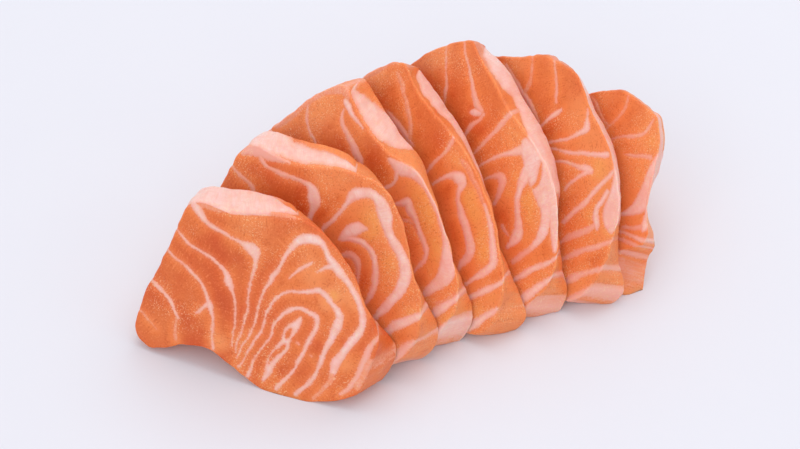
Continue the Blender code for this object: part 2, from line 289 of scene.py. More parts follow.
THIRD = SliceCut(
    name="slice_3", foot=(4.4, -37.1), fan=34.0, lean=67.0, thickness=9.35, flare=0.08,
    top_slant=(-4.2, 1.4),
    nudges=((3, 0.9, 0.4), (4, 0.9, 0.4), (5, 0.5, 0.2), (7, -0.5, -0.6)),
    outline=(
        (1.4, 8.2), (3.6, 18.6), (-0.5, 27), (-7.5, 36), (-15, 41.3), (-25, 43.2), (-34, 47.6), (-41, 52.2),
        (-58.5, 34), (-67, 16), (-62, 9), (-40, 6), (-22, 1), (-9, 0), (-1, 3.3),
    ),
    lines=(
        faint((-57, 35.2, 0.4), (-53.4, 39.6, 0.7), (-50.4, 43.2, 0.5), (-48, 46, 0.6), (-45.6, 48.6, 0.7),
              (-43, 50.4, 0.9), (-40.6, 51.2, 1), (-38.6, 50.2, 0.6)),
        rose((-49.4, 44.2, 0.2), (-49, 42.4, 0.24), (-48.6, 40.6, 0.26), (-47.5, 39, 0.28),
             (-46.2, 37.8, 0.3), (-44.8, 36.9, 0.3), (-42, 32, 0.2), (-39, 22, 0.2), (-37, 12, 0.2),
             (-36.5, 4, 0.2)),
        white((-38.9, 48.6, 0.7), (-37.6, 47.7, 0.75), (-36, 46.6, 0.5), (-34.2, 45.7, 0.35),
              (-32.4, 44.9, 0.15)),
        rose((-38.9, 46.6, 0.25), (-38.8, 44.9, 0.35), (-37.9, 43.3, 0.5), (-36.3, 42.3, 0.5),
             (-34.9, 41.2, 0.62), (-33.4, 40.1, 0.7), (-32, 38.9, 0.8), (-30.6, 37.9, 0.65),
             (-30, 35.4, 0.4), (-30.6, 28, 0.25), (-31.5, 18, 0.25), (-32, 3, 0.2)),
        pale((-23, 40.9, 0.4), (-21, 40.4, 1), (-18.8, 40.3, 1.2), (-16.4, 40.4, 1), (-14.4, 40.1, 0.9),
             (-12.4, 39, 0.55), (-10.2, 37.3, 0.45), (-8.1, 35.4, 0.5), (-6.2, 33, 0.55), (-4.4, 30.6, 0.6),
             (-3, 28, 0.85), (-1.9, 25.6, 1.3), (-1.2, 23.4, 1.65), (-1.3, 21.4, 1.55), (-2.3, 19.4, 1.3),
             (-3.6, 17.4, 1), (-4.7, 15.4, 0.6)),
        pale((-20.2, 39.8, 0.6), (-20, 38.4, 0.45), (-20.1, 37, 0.36), (-20.8, 35.8, 0.34),
             (-22, 34.6, 0.25), (-24.6, 29, 0.25), (-26.6, 20, 0.2), (-27.4, 12, 0.2)),
        pale((-18.2, 32.1, 0.25), (-16.8, 33, 0.6), (-15.4, 33.6, 0.95), (-14.5, 32.6, 0.85),
             (-13, 31.2, 0.65), (-11.5, 29.7, 0.52), (-10, 28.1, 0.56), (-8.6, 26.5, 0.58),
             (-7.4, 24.8, 0.55), (-7.3, 23, 0.42), (-8, 21.4, 0.36), (-9, 19.4, 0.2)),
        faint((-15.4, 29.4, 0.25), (-13.6, 29.7, 0.35), (-12, 29.4, 0.35), (-10.7, 28.4, 0.3)),
        faint((3.6, 19.4, 0.2), (2, 18, 0.22), (0.4, 16.2, 0.22), (-1.4, 14.4, 0.2)),
        pale((4.2, 19, 0.4), (2.4, 17.2, 0.6), (0.8, 15, 0.85), (-0.5, 13.1, 0.95), (-1.6, 11.4, 0.75),
             (-3, 8.4, 0.6), (-4.4, 5, 0.5)),
        pale((4.4, 12.6, 0.5), (2, 9.8, 0.8), (0.2, 6.8, 0.8), (-1.6, 3.4, 0.6), (-3, 1, 0.5)),
    ),
    carried=(0, 1, 3),
    crown_fat=(
        (-41, 1, 1), (-38, 0.06, 0.35), (-36, 0.06, 0.6), (-33, 0.07, 0.78), (-30, 0.07, 0.95),
        (-27, 0.1, 1.2), (-24.5, 0.3, 1.2), (-22, 0.5, 1.2), (-19.5, 0.72, 1.2), (-18, 1, 1.2),
    ),
    paler_with_painted_light=0.65,
    tints=(
        (-9.5, 32.6, 3.6, 0.9), (-5.2, 26.4, 3, 0.9), (-13.5, 37, 3.6, 0.5), (-44, 45.6, 3.6, 0.45),
        (-46.6, 42, 2.4, 0.4), (-38, 40, 4.2, -0.35), (-25, 38.4, 4.6, -0.45), (-11.4, 25, 2.6, -0.35),
        (-6.4, 18.6, 2.2, -0.3), (1.6, 12.4, 2.4, 0.6), (-18, 35.6, 2.4, -0.1), (-5, 21, 2, 0.4),
    ),
)

FOURTH = SliceCut(
    name="slice_4", foot=(15.0, -32.0), fan=40.0, lean=65.0, thickness=9.95, flare=0.07,
    top_slant=(-5.4, -1.6),
    nudges=((3, 0.4, 0.2), (4, 0.3, 0.2), (5, 0.6, 0.3), (7, -1, -0.4)),
    outline=(
        (2.6, 7.4), (3, 17), (-1.5, 25), (-8.6, 33.8), (-16.9, 40.3), (-25.5, 43.5), (-36.5, 47.4),
        (-45.2, 51.8), (-59.5, 38.2), (-70, 19), (-65, 12), (-42, 7), (-22, 1.2), (-7, 0), (-0.2, 3.2),
    ),
    lines=(
        faint((-45, 48.4, 0.35), (-42.8, 46.9, 0.5), (-41.4, 45.2, 0.35), (-39.6, 43.8, 0.4),
              (-38.2, 42, 0.55), (-36.8, 40.7, 0.45), (-36, 39.2, 0.5), (-35.4, 37.6, 0.55),
              (-34.4, 34, 0.3), (-32.6, 26, 0.2), (-31.6, 3.5, 0.2)),
        rose((-44, 39.2, 0.2), (-42.2, 38.7, 0.5), (-40, 38.1, 0.7), (-37.8, 37.2, 0.7), (-35.6, 36.3, 0.5),
             (-33.4, 35.5, 0.2)),
        faint((-55.2, 42.6, 0.3), (-52, 45.8, 0.45), (-49, 49.2, 0.4), (-46.4, 51.2, 0.4)),
        rose((-23.2, 42.2, 0.3), (-23.4, 40.8, 0.38), (-23.7, 39.2, 0.4), (-24.6, 37.2, 0.3),
             (-25.6, 35.5, 0.32), (-26.4, 33.5, 0.28), (-27.4, 30, 0.2), (-28.6, 20, 0.2),
             (-29.4, 10, 0.2)),
        faint((-19, 38.6, 0.3), (-17.2, 37.8, 0.6), (-15.4, 36.6, 0.55), (-12.6, 34.6, 0.4),
              (-9.8, 32.3, 0.4)),
        pale((-9.8, 32.4, 0.3), (-8.2, 30.9, 0.4), (-6, 28.2, 0.5), (-4.1, 25.4, 0.6), (-2.8, 22.9, 0.8),
             (-2, 20.8, 0.85), (-2.7, 18.9, 0.78), (-3.8, 17, 0.75), (-5.1, 15.2, 0.48), (-6.8, 13, 0.3)),
        pale((-24.2, 30, 0.2), (-22.7, 31.9, 0.32), (-21.1, 33.5, 0.45), (-19.5, 34.5, 0.8),
             (-17.9, 34.5, 1.15), (-16.9, 33.7, 0.95), (-16.7, 31.8, 0.5), (-16, 29.4, 0.5),
             (-14.2, 27.3, 0.75), (-12.1, 25.3, 0.9), (-10.4, 23.3, 1), (-9, 21.3, 1.05),
             (-8.7, 19.3, 0.95), (-9.4, 17.2, 0.75), (-10.2, 15, 0.35)),
        pale((3, 19.6, 0.3), (1.2, 17.2, 0.4), (-0.1, 15.6, 0.52), (-1.6, 13.8, 0.6), (-3.1, 12.1, 0.55),
             (-4.7, 10.4, 0.45), (-6.8, 7.4, 0.4), (-8.6, 4, 0.3)),
        pale((2.8, 11.2, 0.4), (1.4, 9.4, 0.55), (0.3, 8, 0.62), (-0.7, 6.3, 0.7), (-1.7, 4.6, 0.7),
             (-3, 2, 0.5)),
    ),
    carried=(0, 1, 3),
    crown_fat=(
        (-43, 1, 1), (-40.5, 0.5, 1.2), (-36, 0.26, 1.2), (-32, 0.3, 1.2), (-27, 0.5, 1.2), (-20, 0.5, 1.2),
        (-14, 0.55, 1.2), (-9, 0.7, 1), (-6, 1, 1),
    ),
    tints=(
        (-14, 31.6, 2.8, 0.9), (-11, 28.8, 2.8, 0.9), (-5.6, 21.6, 3, 0.9), (-7.6, 25.6, 2.4, 0.6),
        (-20.6, 37.6, 2.4, 0.6), (-50, 46, 3, 0.4), (-1.6, 9, 2.2, 0.7), (0.8, 13, 1.8, 0.4),
        (-31, 41, 5, -0.3), (-27, 37, 3, -0.35), (-20, 30.6, 2.6, -0.3), (-13.6, 22.4, 3, -0.3),
        (-7.4, 14.6, 2, -0.3), (-0.6, 18.2, 1.8, -0.25), (-43, 42, 4, -0.1),
    ),
)

FIFTH = SliceCut(
    name="slice_5", foot=(25.9, -26.7), fan=45.0, lean=63.0, thickness=9.95, flare=0.07,
    top_slant=(-3.8, 0),
    nudges=((3, 1.5, 0.8), (4, 1.9, 1), (5, 0.4, 0.2), (6, -1.8, -1), (7, -4, -2.1)),
    outline=(
        (0.1, 7.3), (3.4, 16), (0.1, 25.8), (-6.1, 34.6), (-16.4, 41), (-27.5, 44.8), (-37, 49.2),
        (-46.8, 52.1), (-62.9, 37.3), (-72, 20), (-67, 13), (-44, 7.5), (-25, 1.6), (-9.5, 0), (-1.6, 2.5),
    ),
    peaks=((-45.4, 51.8, 2, 0.8),),
    lines=(
        rose((-52.4, 48, 0.12), (-51, 45.6, 0.14), (-49.6, 43.5, 0.16), (-48.3, 41.8, 0.18),
             (-47.2, 40.1, 0.3), (-46.6, 38.8, 0.5), (-45.8, 36.6, 0.2), (-45.5, 30, 0.2), (-46, 18, 0.2),
             (-46.5, 7, 0.2)),
        rose((-47.4, 51.4, 0.16), (-46.3, 49.9, 0.18), (-44.9, 48.4, 0.2), (-43.1, 47.1, 0.24),
             (-41.6, 45.7, 0.34), (-40, 44.3, 0.38), (-38.5, 42.7, 0.52), (-37, 41.4, 0.65),
             (-35.3, 40.4, 0.75), (-33.8, 40, 0.45)),
        white((-36.6, 38.2, 0.35), (-35.4, 38.8, 0.8), (-34, 39.4, 0.5)),
        rose((-32.8, 39.6, 0.4), (-33.2, 38, 0.3), (-34.2, 36.6, 0.42), (-35, 35.2, 0.5),
             (-35.4, 33.4, 0.4), (-36, 30.6, 0.25), (-37, 24, 0.2), (-38, 5.5, 0.2)),
        rose((-25.4, 43.8, 0.5), (-25.9, 42.4, 0.58), (-26.4, 41, 0.5), (-27.1, 39.4, 0.5),
             (-27.7, 37.8, 0.36), (-28.4, 36, 0.32), (-29.4, 33.4, 0.28), (-30.6, 30.6, 0.2)),
        pale((-28.2, 28.2, 0.2), (-26.6, 30.1, 0.26), (-25, 31.9, 0.28), (-23.4, 33.5, 0.34),
             (-21.6, 35.1, 0.5), (-19.8, 36.5, 0.75), (-18.4, 37.6, 1.1)),
        white((-18.4, 39.6, 0.8), (-17, 38.2, 1.6), (-15, 36.6, 1.9), (-13.2, 35, 2.1), (-11.2, 33.6, 2.2),
              (-9, 32.6, 2.4), (-7.2, 30.8, 2.1), (-5.8, 28.8, 1.5), (-4.9, 26.6, 1.15), (-4.2, 24.2, 1.1),
              (-4.4, 21.8, 0.8), (-5.4, 19, 0.52)),
        white((-17.4, 39.8, 0.6), (-12, 37, 1.2), (-7.4, 33.6, 1.6), (-3.6, 29.2, 1.5), (-1.2, 25.2, 1),
              (0.4, 21.6, 0.5)),
        rose((-5.2, 19.6, 0.5), (-6, 17.6, 0.48), (-7.1, 15.8, 0.6), (-8.6, 13.6, 0.45)),
        white((-14.6, 34, 1.4), (-14.7, 31.4, 1), (-14.6, 28.9, 0.68), (-13.8, 26.4, 0.62),
              (-12.4, 24, 0.72), (-11.1, 21.9, 0.95), (-10.3, 19.9, 1.15), (-10.6, 17.9, 0.95),
              (-11.5, 16, 0.45)),
        flesh((-12.2, 37.6, 0.15), (-11.6, 36, 0.45), (-11, 34.4, 0.6), (-10.9, 32.8, 0.5),
              (-11.7, 31.2, 0.35), (-12.4, 29.6, 0.1)),
        rose((-24.8, 26.6, 0.2), (-22.8, 28.4, 0.45), (-21, 29.3, 0.85), (-20, 28.8, 1), (-19.7, 27, 0.8),
             (-19.5, 24.8, 0.6), (-19.6, 22.8, 0.4)),
        rose((-15.2, 19.6, 0.3), (-13.8, 18.9, 0.35), (-12.6, 18.4, 0.25)),
        pale((2.4, 21, 0.3), (0.9, 19, 0.4), (-0.6, 17.3, 0.52), (-2.6, 14.9, 0.62), (-4.4, 12.5, 0.65),
             (-5.9, 10.3, 0.45), (-8, 6.4, 0.35), (-9.4, 3.4, 0.3)),
        pale((3.4, 16.4, 0.4), (1.8, 14, 0.55), (0.3, 11.6, 0.72), (-1, 9.2, 0.8), (-2.3, 7, 0.75),
             (-4, 3.6, 0.5)),
        rose((1.4, 8.6, 0.5), (-0.4, 5.6, 0.6), (-2.2, 2, 0.5)),
    ),
    carried=(0, 1),
    crown_fat=(
        (-44, 1, 1), (-41, 0.35, 1.2), (-38, 0.24, 1.2), (-34, 0.2, 1.2), (-31, 0.3, 1.2), (-29, 0.52, 1.2),
        (-26, 0.45, 1.2), (-22, 0.25, 1.2), (-19, 0.04, 1.2), (-17, -0.12, 1.2), (-6, -0.12, 1.2),
        (-4.4, 0.1, 1.2), (-3, 1, 1.2),
    ),
    tints=(
        (-22, 40, 3.4, 0.5), (-11.6, 28, 2.8, 0.9), (-8.4, 24.6, 2.6, 0.6), (-17.4, 27, 2.4, 0.6),
        (-17, 31.6, 2.2, 0.5), (-7.6, 20, 2, 0.5), (-54, 45, 4, 0.4), (-2, 10.6, 2, 0.4),
        (-33, 36, 2.6, -0.3), (-42, 40, 5, -0.2), (-16, 21, 2.6, -0.35), (-30.6, 32.4, 2.4, -0.25),
        (-22.6, 25.8, 1.8, -0.3), (-1.2, 20.6, 2.4, -0.3), (-8.4, 11.8, 1.8, -0.25), (-37, 36.8, 2.4, -0.2),
    ),
)

SIXTH = SliceCut(
    name="slice_6", foot=(36.7, -21.5), fan=50.0, lean=61.0, thickness=9.9, flare=0.08,
    top_slant=(-8.2, -3.5),
    nudges=((2, 0.2, 0.1), (3, 0.7, 0.4), (4, 1, 0.6)),
    outline=(
        (3.2, 8.6), (4, 17.6), (1.2, 28.9), (-6.9, 37.9), (-18.4, 44.4), (-28.3, 49.2), (-38.3, 48.5),
        (-49.5, 43), (-57.5, 38.5), (-67, 22), (-62, 14), (-40, 8), (-22, 1.8), (-8, 0.2), (1.2, 4.6),
    ),
    lines=(
        faint((-43.6, 46.6, 0.15), (-42.5, 45, 0.2), (-41.1, 42.8, 0.25), (-40.2, 41, 0.35),
              (-39.8, 39.2, 0.45), (-40.2, 36, 0.2), (-41, 28, 0.2), (-42, 18, 0.2), (-43, 7, 0.2)),
        rose((-50, 40.2, 0.2), (-46.6, 39.2, 0.4), (-42.4, 37.9, 0.6), (-38, 36.6, 0.65),
             (-34.6, 35.4, 0.5), (-31.6, 34.2, 0.2)),
        rose((-36, 48.4, 0.18), (-35.1, 47.2, 0.2), (-33.2, 45.3, 0.24), (-31.8, 43.4, 0.24),
             (-30.5, 41.8, 0.32), (-29.6, 40.8, 0.25)),
        pale((-27.2, 39.9, 0.35), (-28, 38.8, 0.48), (-28.8, 37.4, 0.46), (-29.5, 35.8, 0.36),
             (-30.2, 34, 0.25), (-31.6, 28, 0.2), (-33, 16, 0.2), (-34, 4.8, 0.2)),
        pale((-20.2, 43.8, 0.18), (-19.3, 42.2, 0.3), (-18.5, 40.9, 0.55), (-18, 39.6, 0.72),
             (-18.9, 38.4, 0.5), (-20.2, 36.7, 0.3), (-22, 34.8, 0.25), (-24, 33.2, 0.22),
             (-25.6, 32, 0.16), (-28.6, 29, 0.15), (-30, 22, 0.2)),
        pale((-25, 30.8, 0.16), (-22.6, 31.7, 0.22), (-20.1, 32.5, 0.28), (-18.1, 33.4, 0.3),
             (-16.1, 34.4, 0.34), (-13.2, 35.7, 0.44), (-11.1, 36.8, 0.55), (-9.2, 37.8, 0.55)),
        pale((-22.2, 28.6, 0.16), (-20.6, 29.6, 0.26), (-18.6, 30.6, 0.3), (-16.4, 31.2, 0.34),
             (-14.2, 31.7, 0.42), (-12.3, 32.1, 0.8), (-11.1, 32.4, 0.5)),
        pale((-11.9, 31.8, 0.6), (-12.8, 30.5, 0.5), (-13.7, 29, 0.38), (-14.6, 27.2, 0.32),
             (-15.2, 25, 0.26)),
        pale((-5.2, 36.2, 0.35), (-5.8, 34.6, 0.4), (-6.4, 32.8, 0.42), (-7.2, 30.5, 0.42),
             (-8, 27.8, 0.48), (-8.5, 25.6, 0.58), (-9.4, 23.6, 0.6), (-10.5, 21.2, 0.6),
             (-11.4, 18.6, 0.45)),
        pale((-5.6, 37.4, 0.5), (-4.2, 35.2, 0.8), (-3, 33.2, 1.1), (-1.8, 31.2, 1.8), (-0.9, 29.2, 2.4),
             (-0.2, 27.2, 2.5), (0.6, 25.4, 1.7), (1.4, 23.8, 0.6)),
        white((-4.6, 30.6, 0.5), (-4.7, 28, 0.5), (-4.9, 26, 0.55), (-4.2, 24.5, 0.68), (-3.1, 23.2, 0.72),
              (-2.2, 22.1, 0.35)),
        rose((-3.2, 22.6, 0.5), (-4.2, 20.9, 0.62), (-5.6, 19.2, 0.68), (-7, 17.5, 0.68),
             (-8.2, 16.1, 0.65), (-9.3, 14.6, 0.4), (-10.6, 12.4, 0.25)),
        rose((3.2, 22.2, 0.35), (1, 19.8, 0.5), (-1, 17.8, 0.5), (-3, 15.8, 0.5), (-4.6, 13.8, 0.56),
             (-6.2, 12.1, 0.5), (-8.4, 9.2, 0.3)),
        rose((4.4, 15.6, 0.4), (2.6, 13.8, 0.5), (0.9, 12.2, 0.52), (-0.7, 10.6, 0.62), (-2.1, 8.7, 0.85),
             (-3.2, 7.1, 0.6), (-4.8, 4.2, 0.4)),
        rose((3.8, 9.8, 0.6), (2, 7.2, 0.7), (0.2, 4.8, 0.7), (-1.4, 1.6, 0.5)),
    ),
    carried=(0, 1),
    crown_fat=(
        (-32, 1, 1), (-27, 0.35, 1.2), (-22, 0.2, 1.2), (-15, 0.17, 1.2), (-9, 0.12, 1.2), (-6, 0.05, 1.2),
        (-3, -0.1, 1.2), (0.6, -0.1, 1.2), (1.8, 0.3, 1.2), (2.6, 1, 1.2),
    ),
    tints=(
        (-6, 24, 2.4, 0.6), (-8.6, 34, 3.4, 0.8), (-6.4, 29.2, 2, 0.4), (0.6, 23.4, 2, 0.7),
        (-46, 42.4, 4, 0.35), (-22, 42, 4, 0.2), (-12.4, 35, 2.4, 0.3), (0.6, 9, 2.6, 0.3),
        (-13.4, 20.6, 2.6, -0.25), (-9.4, 14, 2, -0.25), (1.6, 15.2, 2.4, -0.3), (-26, 34.6, 3, -0.15),
        (1.4, 6, 2, -0.15),
    ),
)

SEVENTH = SliceCut(
    name="slice_7", foot=(47.4, -16.3), fan=56.0, lean=59.0, thickness=8.0, flare=0.04,
    top_slant=(-6.8, -2.8),
    nudges=((3, 2.3, 1.1), (4, 2.3, 1.8), (5, 1.2, 1)),
    outline=(
        (-4.2, 10), (1.2, 17.3), (-3.9, 25), (-7.2, 31.8), (-10.9, 38.9), (-19.2, 42.2), (-27.5, 41.6),
        (-38.7, 34.6), (-46, 27), (-50, 19), (-46, 12), (-32, 7), (-20, 1.8), (-8, 0), (0, 2.6),
    ),
    peaks=((-15.3, 41, 2.2, 0.8), (-22.5, 42, 3, -0.4)),
    lines=(
        faint((-37.4, 34.8, 0.2), (-34.6, 34.3, 0.4), (-32, 33.4, 0.4), (-29, 32.7, 0.3),
              (-26.4, 32.4, 0.15)),
        faint((-26, 41.2, 0.2), (-25.4, 39.4, 0.25), (-25.1, 37.6, 0.28), (-25.2, 35.6, 0.26),
              (-25.8, 33.6, 0.22), (-27, 30, 0.2), (-29.5, 22, 0.2), (-31, 12, 0.2), (-31.5, 6, 0.2)),
        rose((-15.9, 40.6, 0.26), (-15.7, 39, 0.32), (-15.6, 37.5, 0.35), (-16.5, 35.9, 0.34),
             (-18.4, 34.4, 0.3), (-20.5, 33.1, 0.25), (-22.4, 31.5, 0.18), (-24.6, 28, 0.15),
             (-26, 20, 0.15)),
        rose((-17.2, 29.8, 0.16), (-15.9, 30.6, 0.22), (-14, 31.6, 0.3), (-12, 32.6, 0.35),
             (-10.4, 33.4, 0.42)),
        pale((-8.6, 35, 0.5), (-7.9, 32.8, 1.2), (-7, 30.4, 1.8), (-5.9, 28.2, 2.2), (-5.4, 26.2, 2.3),
             (-5.6, 24.2, 1.9), (-6.2, 22.2, 1.4), (-7.2, 20.4, 0.9), (-8.8, 18.6, 0.5),
             (-10.4, 17.4, 0.25)),
        white((-4.2, 24.8, 0.3), (-3.2, 22.9, 0.4), (-2.2, 21, 0.6), (-1.6, 19.6, 0.7), (-1.4, 18.8, 0.3)),
        rose((-1.6, 19.8, 0.4), (-2.8, 18.7, 0.5), (-4.1, 17.6, 0.38), (-5.5, 16.8, 0.3), (-6.8, 16, 0.2)),
        pale((2, 18, 0.4), (0, 17, 0.48), (-1.6, 16.4, 0.4), (-3.6, 15.8, 0.32), (-5.5, 15.3, 0.3),
             (-7, 14.8, 0.2)),
        rose((1, 14.8, 0.4), (-1.4, 14.6, 0.4), (-3.4, 14, 0.4), (-5.2, 13.4, 0.32), (-6.8, 12.8, 0.2)),
        rose((0.6, 11.9, 0.35), (-2, 11.2, 0.45), (-4.4, 10.6, 0.4), (-6.4, 10, 0.2)),
        faint((-5, 9.6, 0.3), (-3, 8.2, 0.6), (-1, 6.4, 0.7), (0.6, 4.4, 0.6)),
    ),
    carried=(0, 1),
    crown_fat=(
        (-19, 1, 1), (-16.5, 0.3, 0.6), (-14, 0.15, 0.7), (-11, 0.1, 0.75), (-8, 0, 0.8), (-5, -0.1, 0.8),
        (-3.6, 0, 0.6), (-2.2, 1, 1),
    ),
    crown_tone=Tone.ROSE,
    tints=(
        (-12, 36.4, 3.4, 0.5), (-11, 29, 2.6, 0.5), (-32, 37.4, 3, 0.3), (-3, 18.4, 1.8, 0.3),
        (-9.2, 20.6, 2.2, -0.2), (-22, 36, 4, -0.07), (-6.6, 16.4, 1.6, -0.2),
    ),
)
CUTS = (FIRST, SECOND, THIRD, FOURTH, FIFTH, SIXTH, SEVENTH)


# --- Curves and noise ---

SPAN_SAMPLES = 24
LEAST_GAP = 1e-6
LEAST_TURN = 1e-3
WELD = 1e-7
WORD, HALF_WORD = 0xFFFFFFFF, 0xFFFF
CELL_FACTORS = (374761393, 668265263, 2147483647)
SEED_FACTOR = 144665
MIX_FACTOR = 1274126177


def hermite(points: np.ndarray, closed: bool, steps: int) -> np.ndarray:
    """Fine samples of a smooth centripetal curve through points.

    Args:
        points: rows whose first two columns are the plane; others are carried along.
        closed: whether the curve comes back to its first point.
        steps: samples in each span.

    Returns:
        The samples in order, with the last point at the end.
    """
    count = len(points)
    if not closed:
        points = np.vstack([2 * points[0] - points[1], points, 2 * points[-1] - points[-2]])
    before = -1 if closed else 0
    t = np.linspace(0.0, 1.0, steps, endpoint=False)[:, None]
    spans = []
    for i in range(count if closed else count - 1):
        p0, p1, p2, p3 = (points[(i + before + k) % len(points)] for k in range(4))
        pairs = ((p0, p1), (p1, p2), (p2, p3))
        k01, k12, k23 = (max(LEAST_GAP, math.sqrt(math.dist(a[:2], b[:2]))) for a, b in pairs)
        m1 = (p2 - p1) + k12 * ((p1 - p0) / k01 - (p2 - p0) / (k01 + k12))
        m2 = (p2 - p1) + k12 * ((p3 - p2) / k23 - (p3 - p1) / (k12 + k23))
        spans.append(
            (2 * t**3 - 3 * t**2 + 1) * p1 + (t**3 - 2 * t**2 + t) * m1
            + (3 * t**2 - 2 * t**3) * p2 + (t**3 - t**2) * m2
        )
    end = spans[0][:1] if closed else points[-2][None, :]
    return np.vstack([*spans, end])


def arc_length(path: np.ndarray) -> np.ndarray:
    """Distance run along a path at each of its points, measured in its first two columns."""
    return np.concatenate(([0.0], np.cumsum(np.linalg.norm(np.diff(path[:, :2], axis=0), axis=1))))


def outward(loop: np.ndarray) -> np.ndarray:
    """Find which way is out all round a loop.

    Args:
        loop: points of a closed loop, anticlockwise.

    Returns:
        One unit vector for each point.
    """
    run = np.roll(loop, -1, axis=0) - np.roll(loop, 1, axis=0)
    normal = np.stack([run[:, 1], -run[:, 0]], axis=1)
    return normal / np.linalg.norm(normal, axis=1, keepdims=True)


def smooth_noise(points: np.ndarray, seed: int) -> np.ndarray:
    """Smooth noise from -1 to 1 at points in space, one cell to a unit.

    Args:
        points: rows of three coordinates.
        seed: picks the pattern.

    Returns:
        One value for each row.
    """
    cell = np.floor(points).astype(np.int64)
    part = points - cell
    part = part * part * (3.0 - 2.0 * part)
    total = np.zeros(len(points))
    for corner in range(8):
        offset = np.array([corner & 1, corner >> 1 & 1, corner >> 2 & 1])
        mixed = ((cell + offset) @ np.array(CELL_FACTORS) + seed * SEED_FACTOR) & WORD
        mixed = ((mixed ^ (mixed >> 13)) * MIX_FACTOR) & WORD
        value = ((mixed ^ (mixed >> 16)) & HALF_WORD) / (HALF_WORD / 2) - 1.0
        total += value * np.prod(np.where(offset, part, 1.0 - part), axis=1)
    return total


def inside(points: np.ndarray, loop: np.ndarray) -> np.ndarray:
    """Find which points lie inside a loop.

    Args:
        points: rows of (along, up).
        loop: the closed loop, in the same plane.

    Returns:
        Whether each point is inside.
    """
    within = np.zeros(len(points), bool)
    for a, b in zip(loop, np.roll(loop, -1, axis=0)):
        if a[1] != b[1]:
            crossed = (a[1] > points[:, 1]) != (b[1] > points[:, 1])
            within ^= crossed & (points[:, 0] < (b[0] - a[0]) * (points[:, 1] - a[1]) / (b[1] - a[1]) + a[0])
    return within


# --- What the cut shows ---


def depth_in_line(plane: np.ndarray, path: np.ndarray) -> tuple[np.ndarray, np.ndarray]:
    """Measure how deep points lie in one line of fat.

    Args:
        plane: rows of (along, up).
        path: fine samples of the line, as (along, up, half width).

    Returns:
        Each point's depth, negative outside the line, and the distance run along it.
    """
    best, at = np.full(len(plane), -np.inf), np.zeros(len(plane))
    for a, b, start in zip(path, path[1:], arc_length(path)):
        step = b[:2] - a[:2]
        size = float(step @ step) + 1e-9
        t = np.clip(((plane - a[:2]) @ step) / size, 0.0, 1.0)
        gap = plane - a[:2] - t[:, None] * step
        depth = a[2] + t * (b[2] - a[2]) - np.sqrt((gap * gap).sum(axis=1))
        better = depth > best
        best[better], at[better] = depth[better], start + t[better] * math.sqrt(size)
    return best, at


@dataclass
class Marbling:
    """The lines of fat of one slice, measured at any point of its plane.

    A sway is (size, distance) of the waves that make the lines wander, the waver is
    (length, depth) of their uneven width, and apart is how far along the grain one line
    is from the next. The nose is (start, length, least share) of the lighter meat towards
    the nose, partly painted light.
    """

    cut: SliceCut
    samples: int = 6
    reach: float = 4.0
    least: float = 0.06
    sway_seeds: tuple[int, int] = (5, 6)
    sways: tuple[Point, ...] = ((2.4, 0.2), (0.9, 0.05))
    waver: Point = (1.9, 0.06)
    apart: float = 37.0
    nose: Stop = (-38.0, 22.0, 0.45)

    def __post_init__(self) -> None:
        """Draw every line, and the first slice's own lines that this one carries on."""
        self.drawn = [self._draw(one.stops, one.tone) for one in self.cut.lines]
        low, high = (f(np.array(self.cut.outline), axis=0) for f in (np.min, np.max))
        first_low, first_high = (f(np.array(FIRST.outline), axis=0) for f in (np.min, np.max))
        grow = (high - low) / (first_high - first_low)
        for index in self.cut.carried:
            stops = np.array(FIRST.lines[index].stops, float)
            stops[:, :2] = (stops[:, :2] - first_low) * grow + low
            self.drawn.append(self._draw(stops, FIRST.lines[index].tone))

    def _draw(self, stops: tuple[Stop, ...] | np.ndarray, tone: Tone) -> tuple[np.ndarray, Tone]:
        """Draw one line of fat.

        Args:
            stops: its stops, as (along, up, half width).
            tone: how pale it is.

        Returns:
            Its fine samples, and its tone.
        """
        path = hermite(np.array(stops, float), False, self.samples)
        if tone is not Tone.FLESH:
            path[:, 2] = np.maximum(path[:, 2] * self.cut.broad + self.cut.swell, self.least)
        return path, tone

    def measure(self, plane: np.ndarray) -> dict[str, np.ndarray]:
        """Measure the fat at points of the slice's plane.

        Args:
            plane: rows of (along, up).

        Returns:
            "fat", how deep in fat each point lies, negative outside; "pale", the tone
            of the nearest line; "run", the distance run along that line.
        """
        flat = np.column_stack([plane, np.zeros(len(plane))])
        for size, sway in self.sways:
            wander = [smooth_noise(flat / size, seed) for seed in self.sway_seeds]
            plane = plane + sway * np.stack(wander, axis=1)
        pale, run = np.zeros(len(plane)), np.zeros(len(plane))
        fat, meat = np.full(len(plane), -self.reach), np.full(len(plane), -np.inf)
        length, depth = self.waver
        for index, (path, tone) in enumerate(self.drawn):
            low, high = path[:, :2].min(axis=0), path[:, :2].max(axis=0)
            close = np.abs(plane - (low + high) / 2) < (high - low) / 2 + self.reach
            near = np.flatnonzero(close.all(axis=1))
            best, at = depth_in_line(plane[near], path)
            best = best + depth * smooth_noise(np.column_stack([at / length, at * 0.0, at * 0.0]), index)
            if tone is Tone.FLESH:
                meat[near] = np.maximum(meat[near], best)
            else:
                better = best > fat[near]
                rows = near[better]
                fat[rows], pale[rows], run[rows] = best[better], tone.value, at[better] + self.apart * index
        return {"fat": np.minimum(fat, -meat), "pale": pale, "run": run}

    def tint(self, plane: np.ndarray) -> np.ndarray:
        """Measure the colour of the meat.

        Args:
            plane: rows of (along, up).

        Returns:
            How yellow each point is, above 0, or how deep a red, below it.
        """
        start, length, least = self.nose
        # partly painted light: the meat grows lighter towards the nose, which lifts the slices behind the
        # first against their shade
        total = self.cut.paler_with_painted_light * np.clip((plane[:, 0] - start) / length, least, 1.0)
        for along, up, reach, amount in self.cut.tints:
            far = ((plane[:, 0] - along) ** 2 + (plane[:, 1] - up) ** 2) / reach**2
            total += amount * np.exp(-far)
        return total


# --- The slices ---


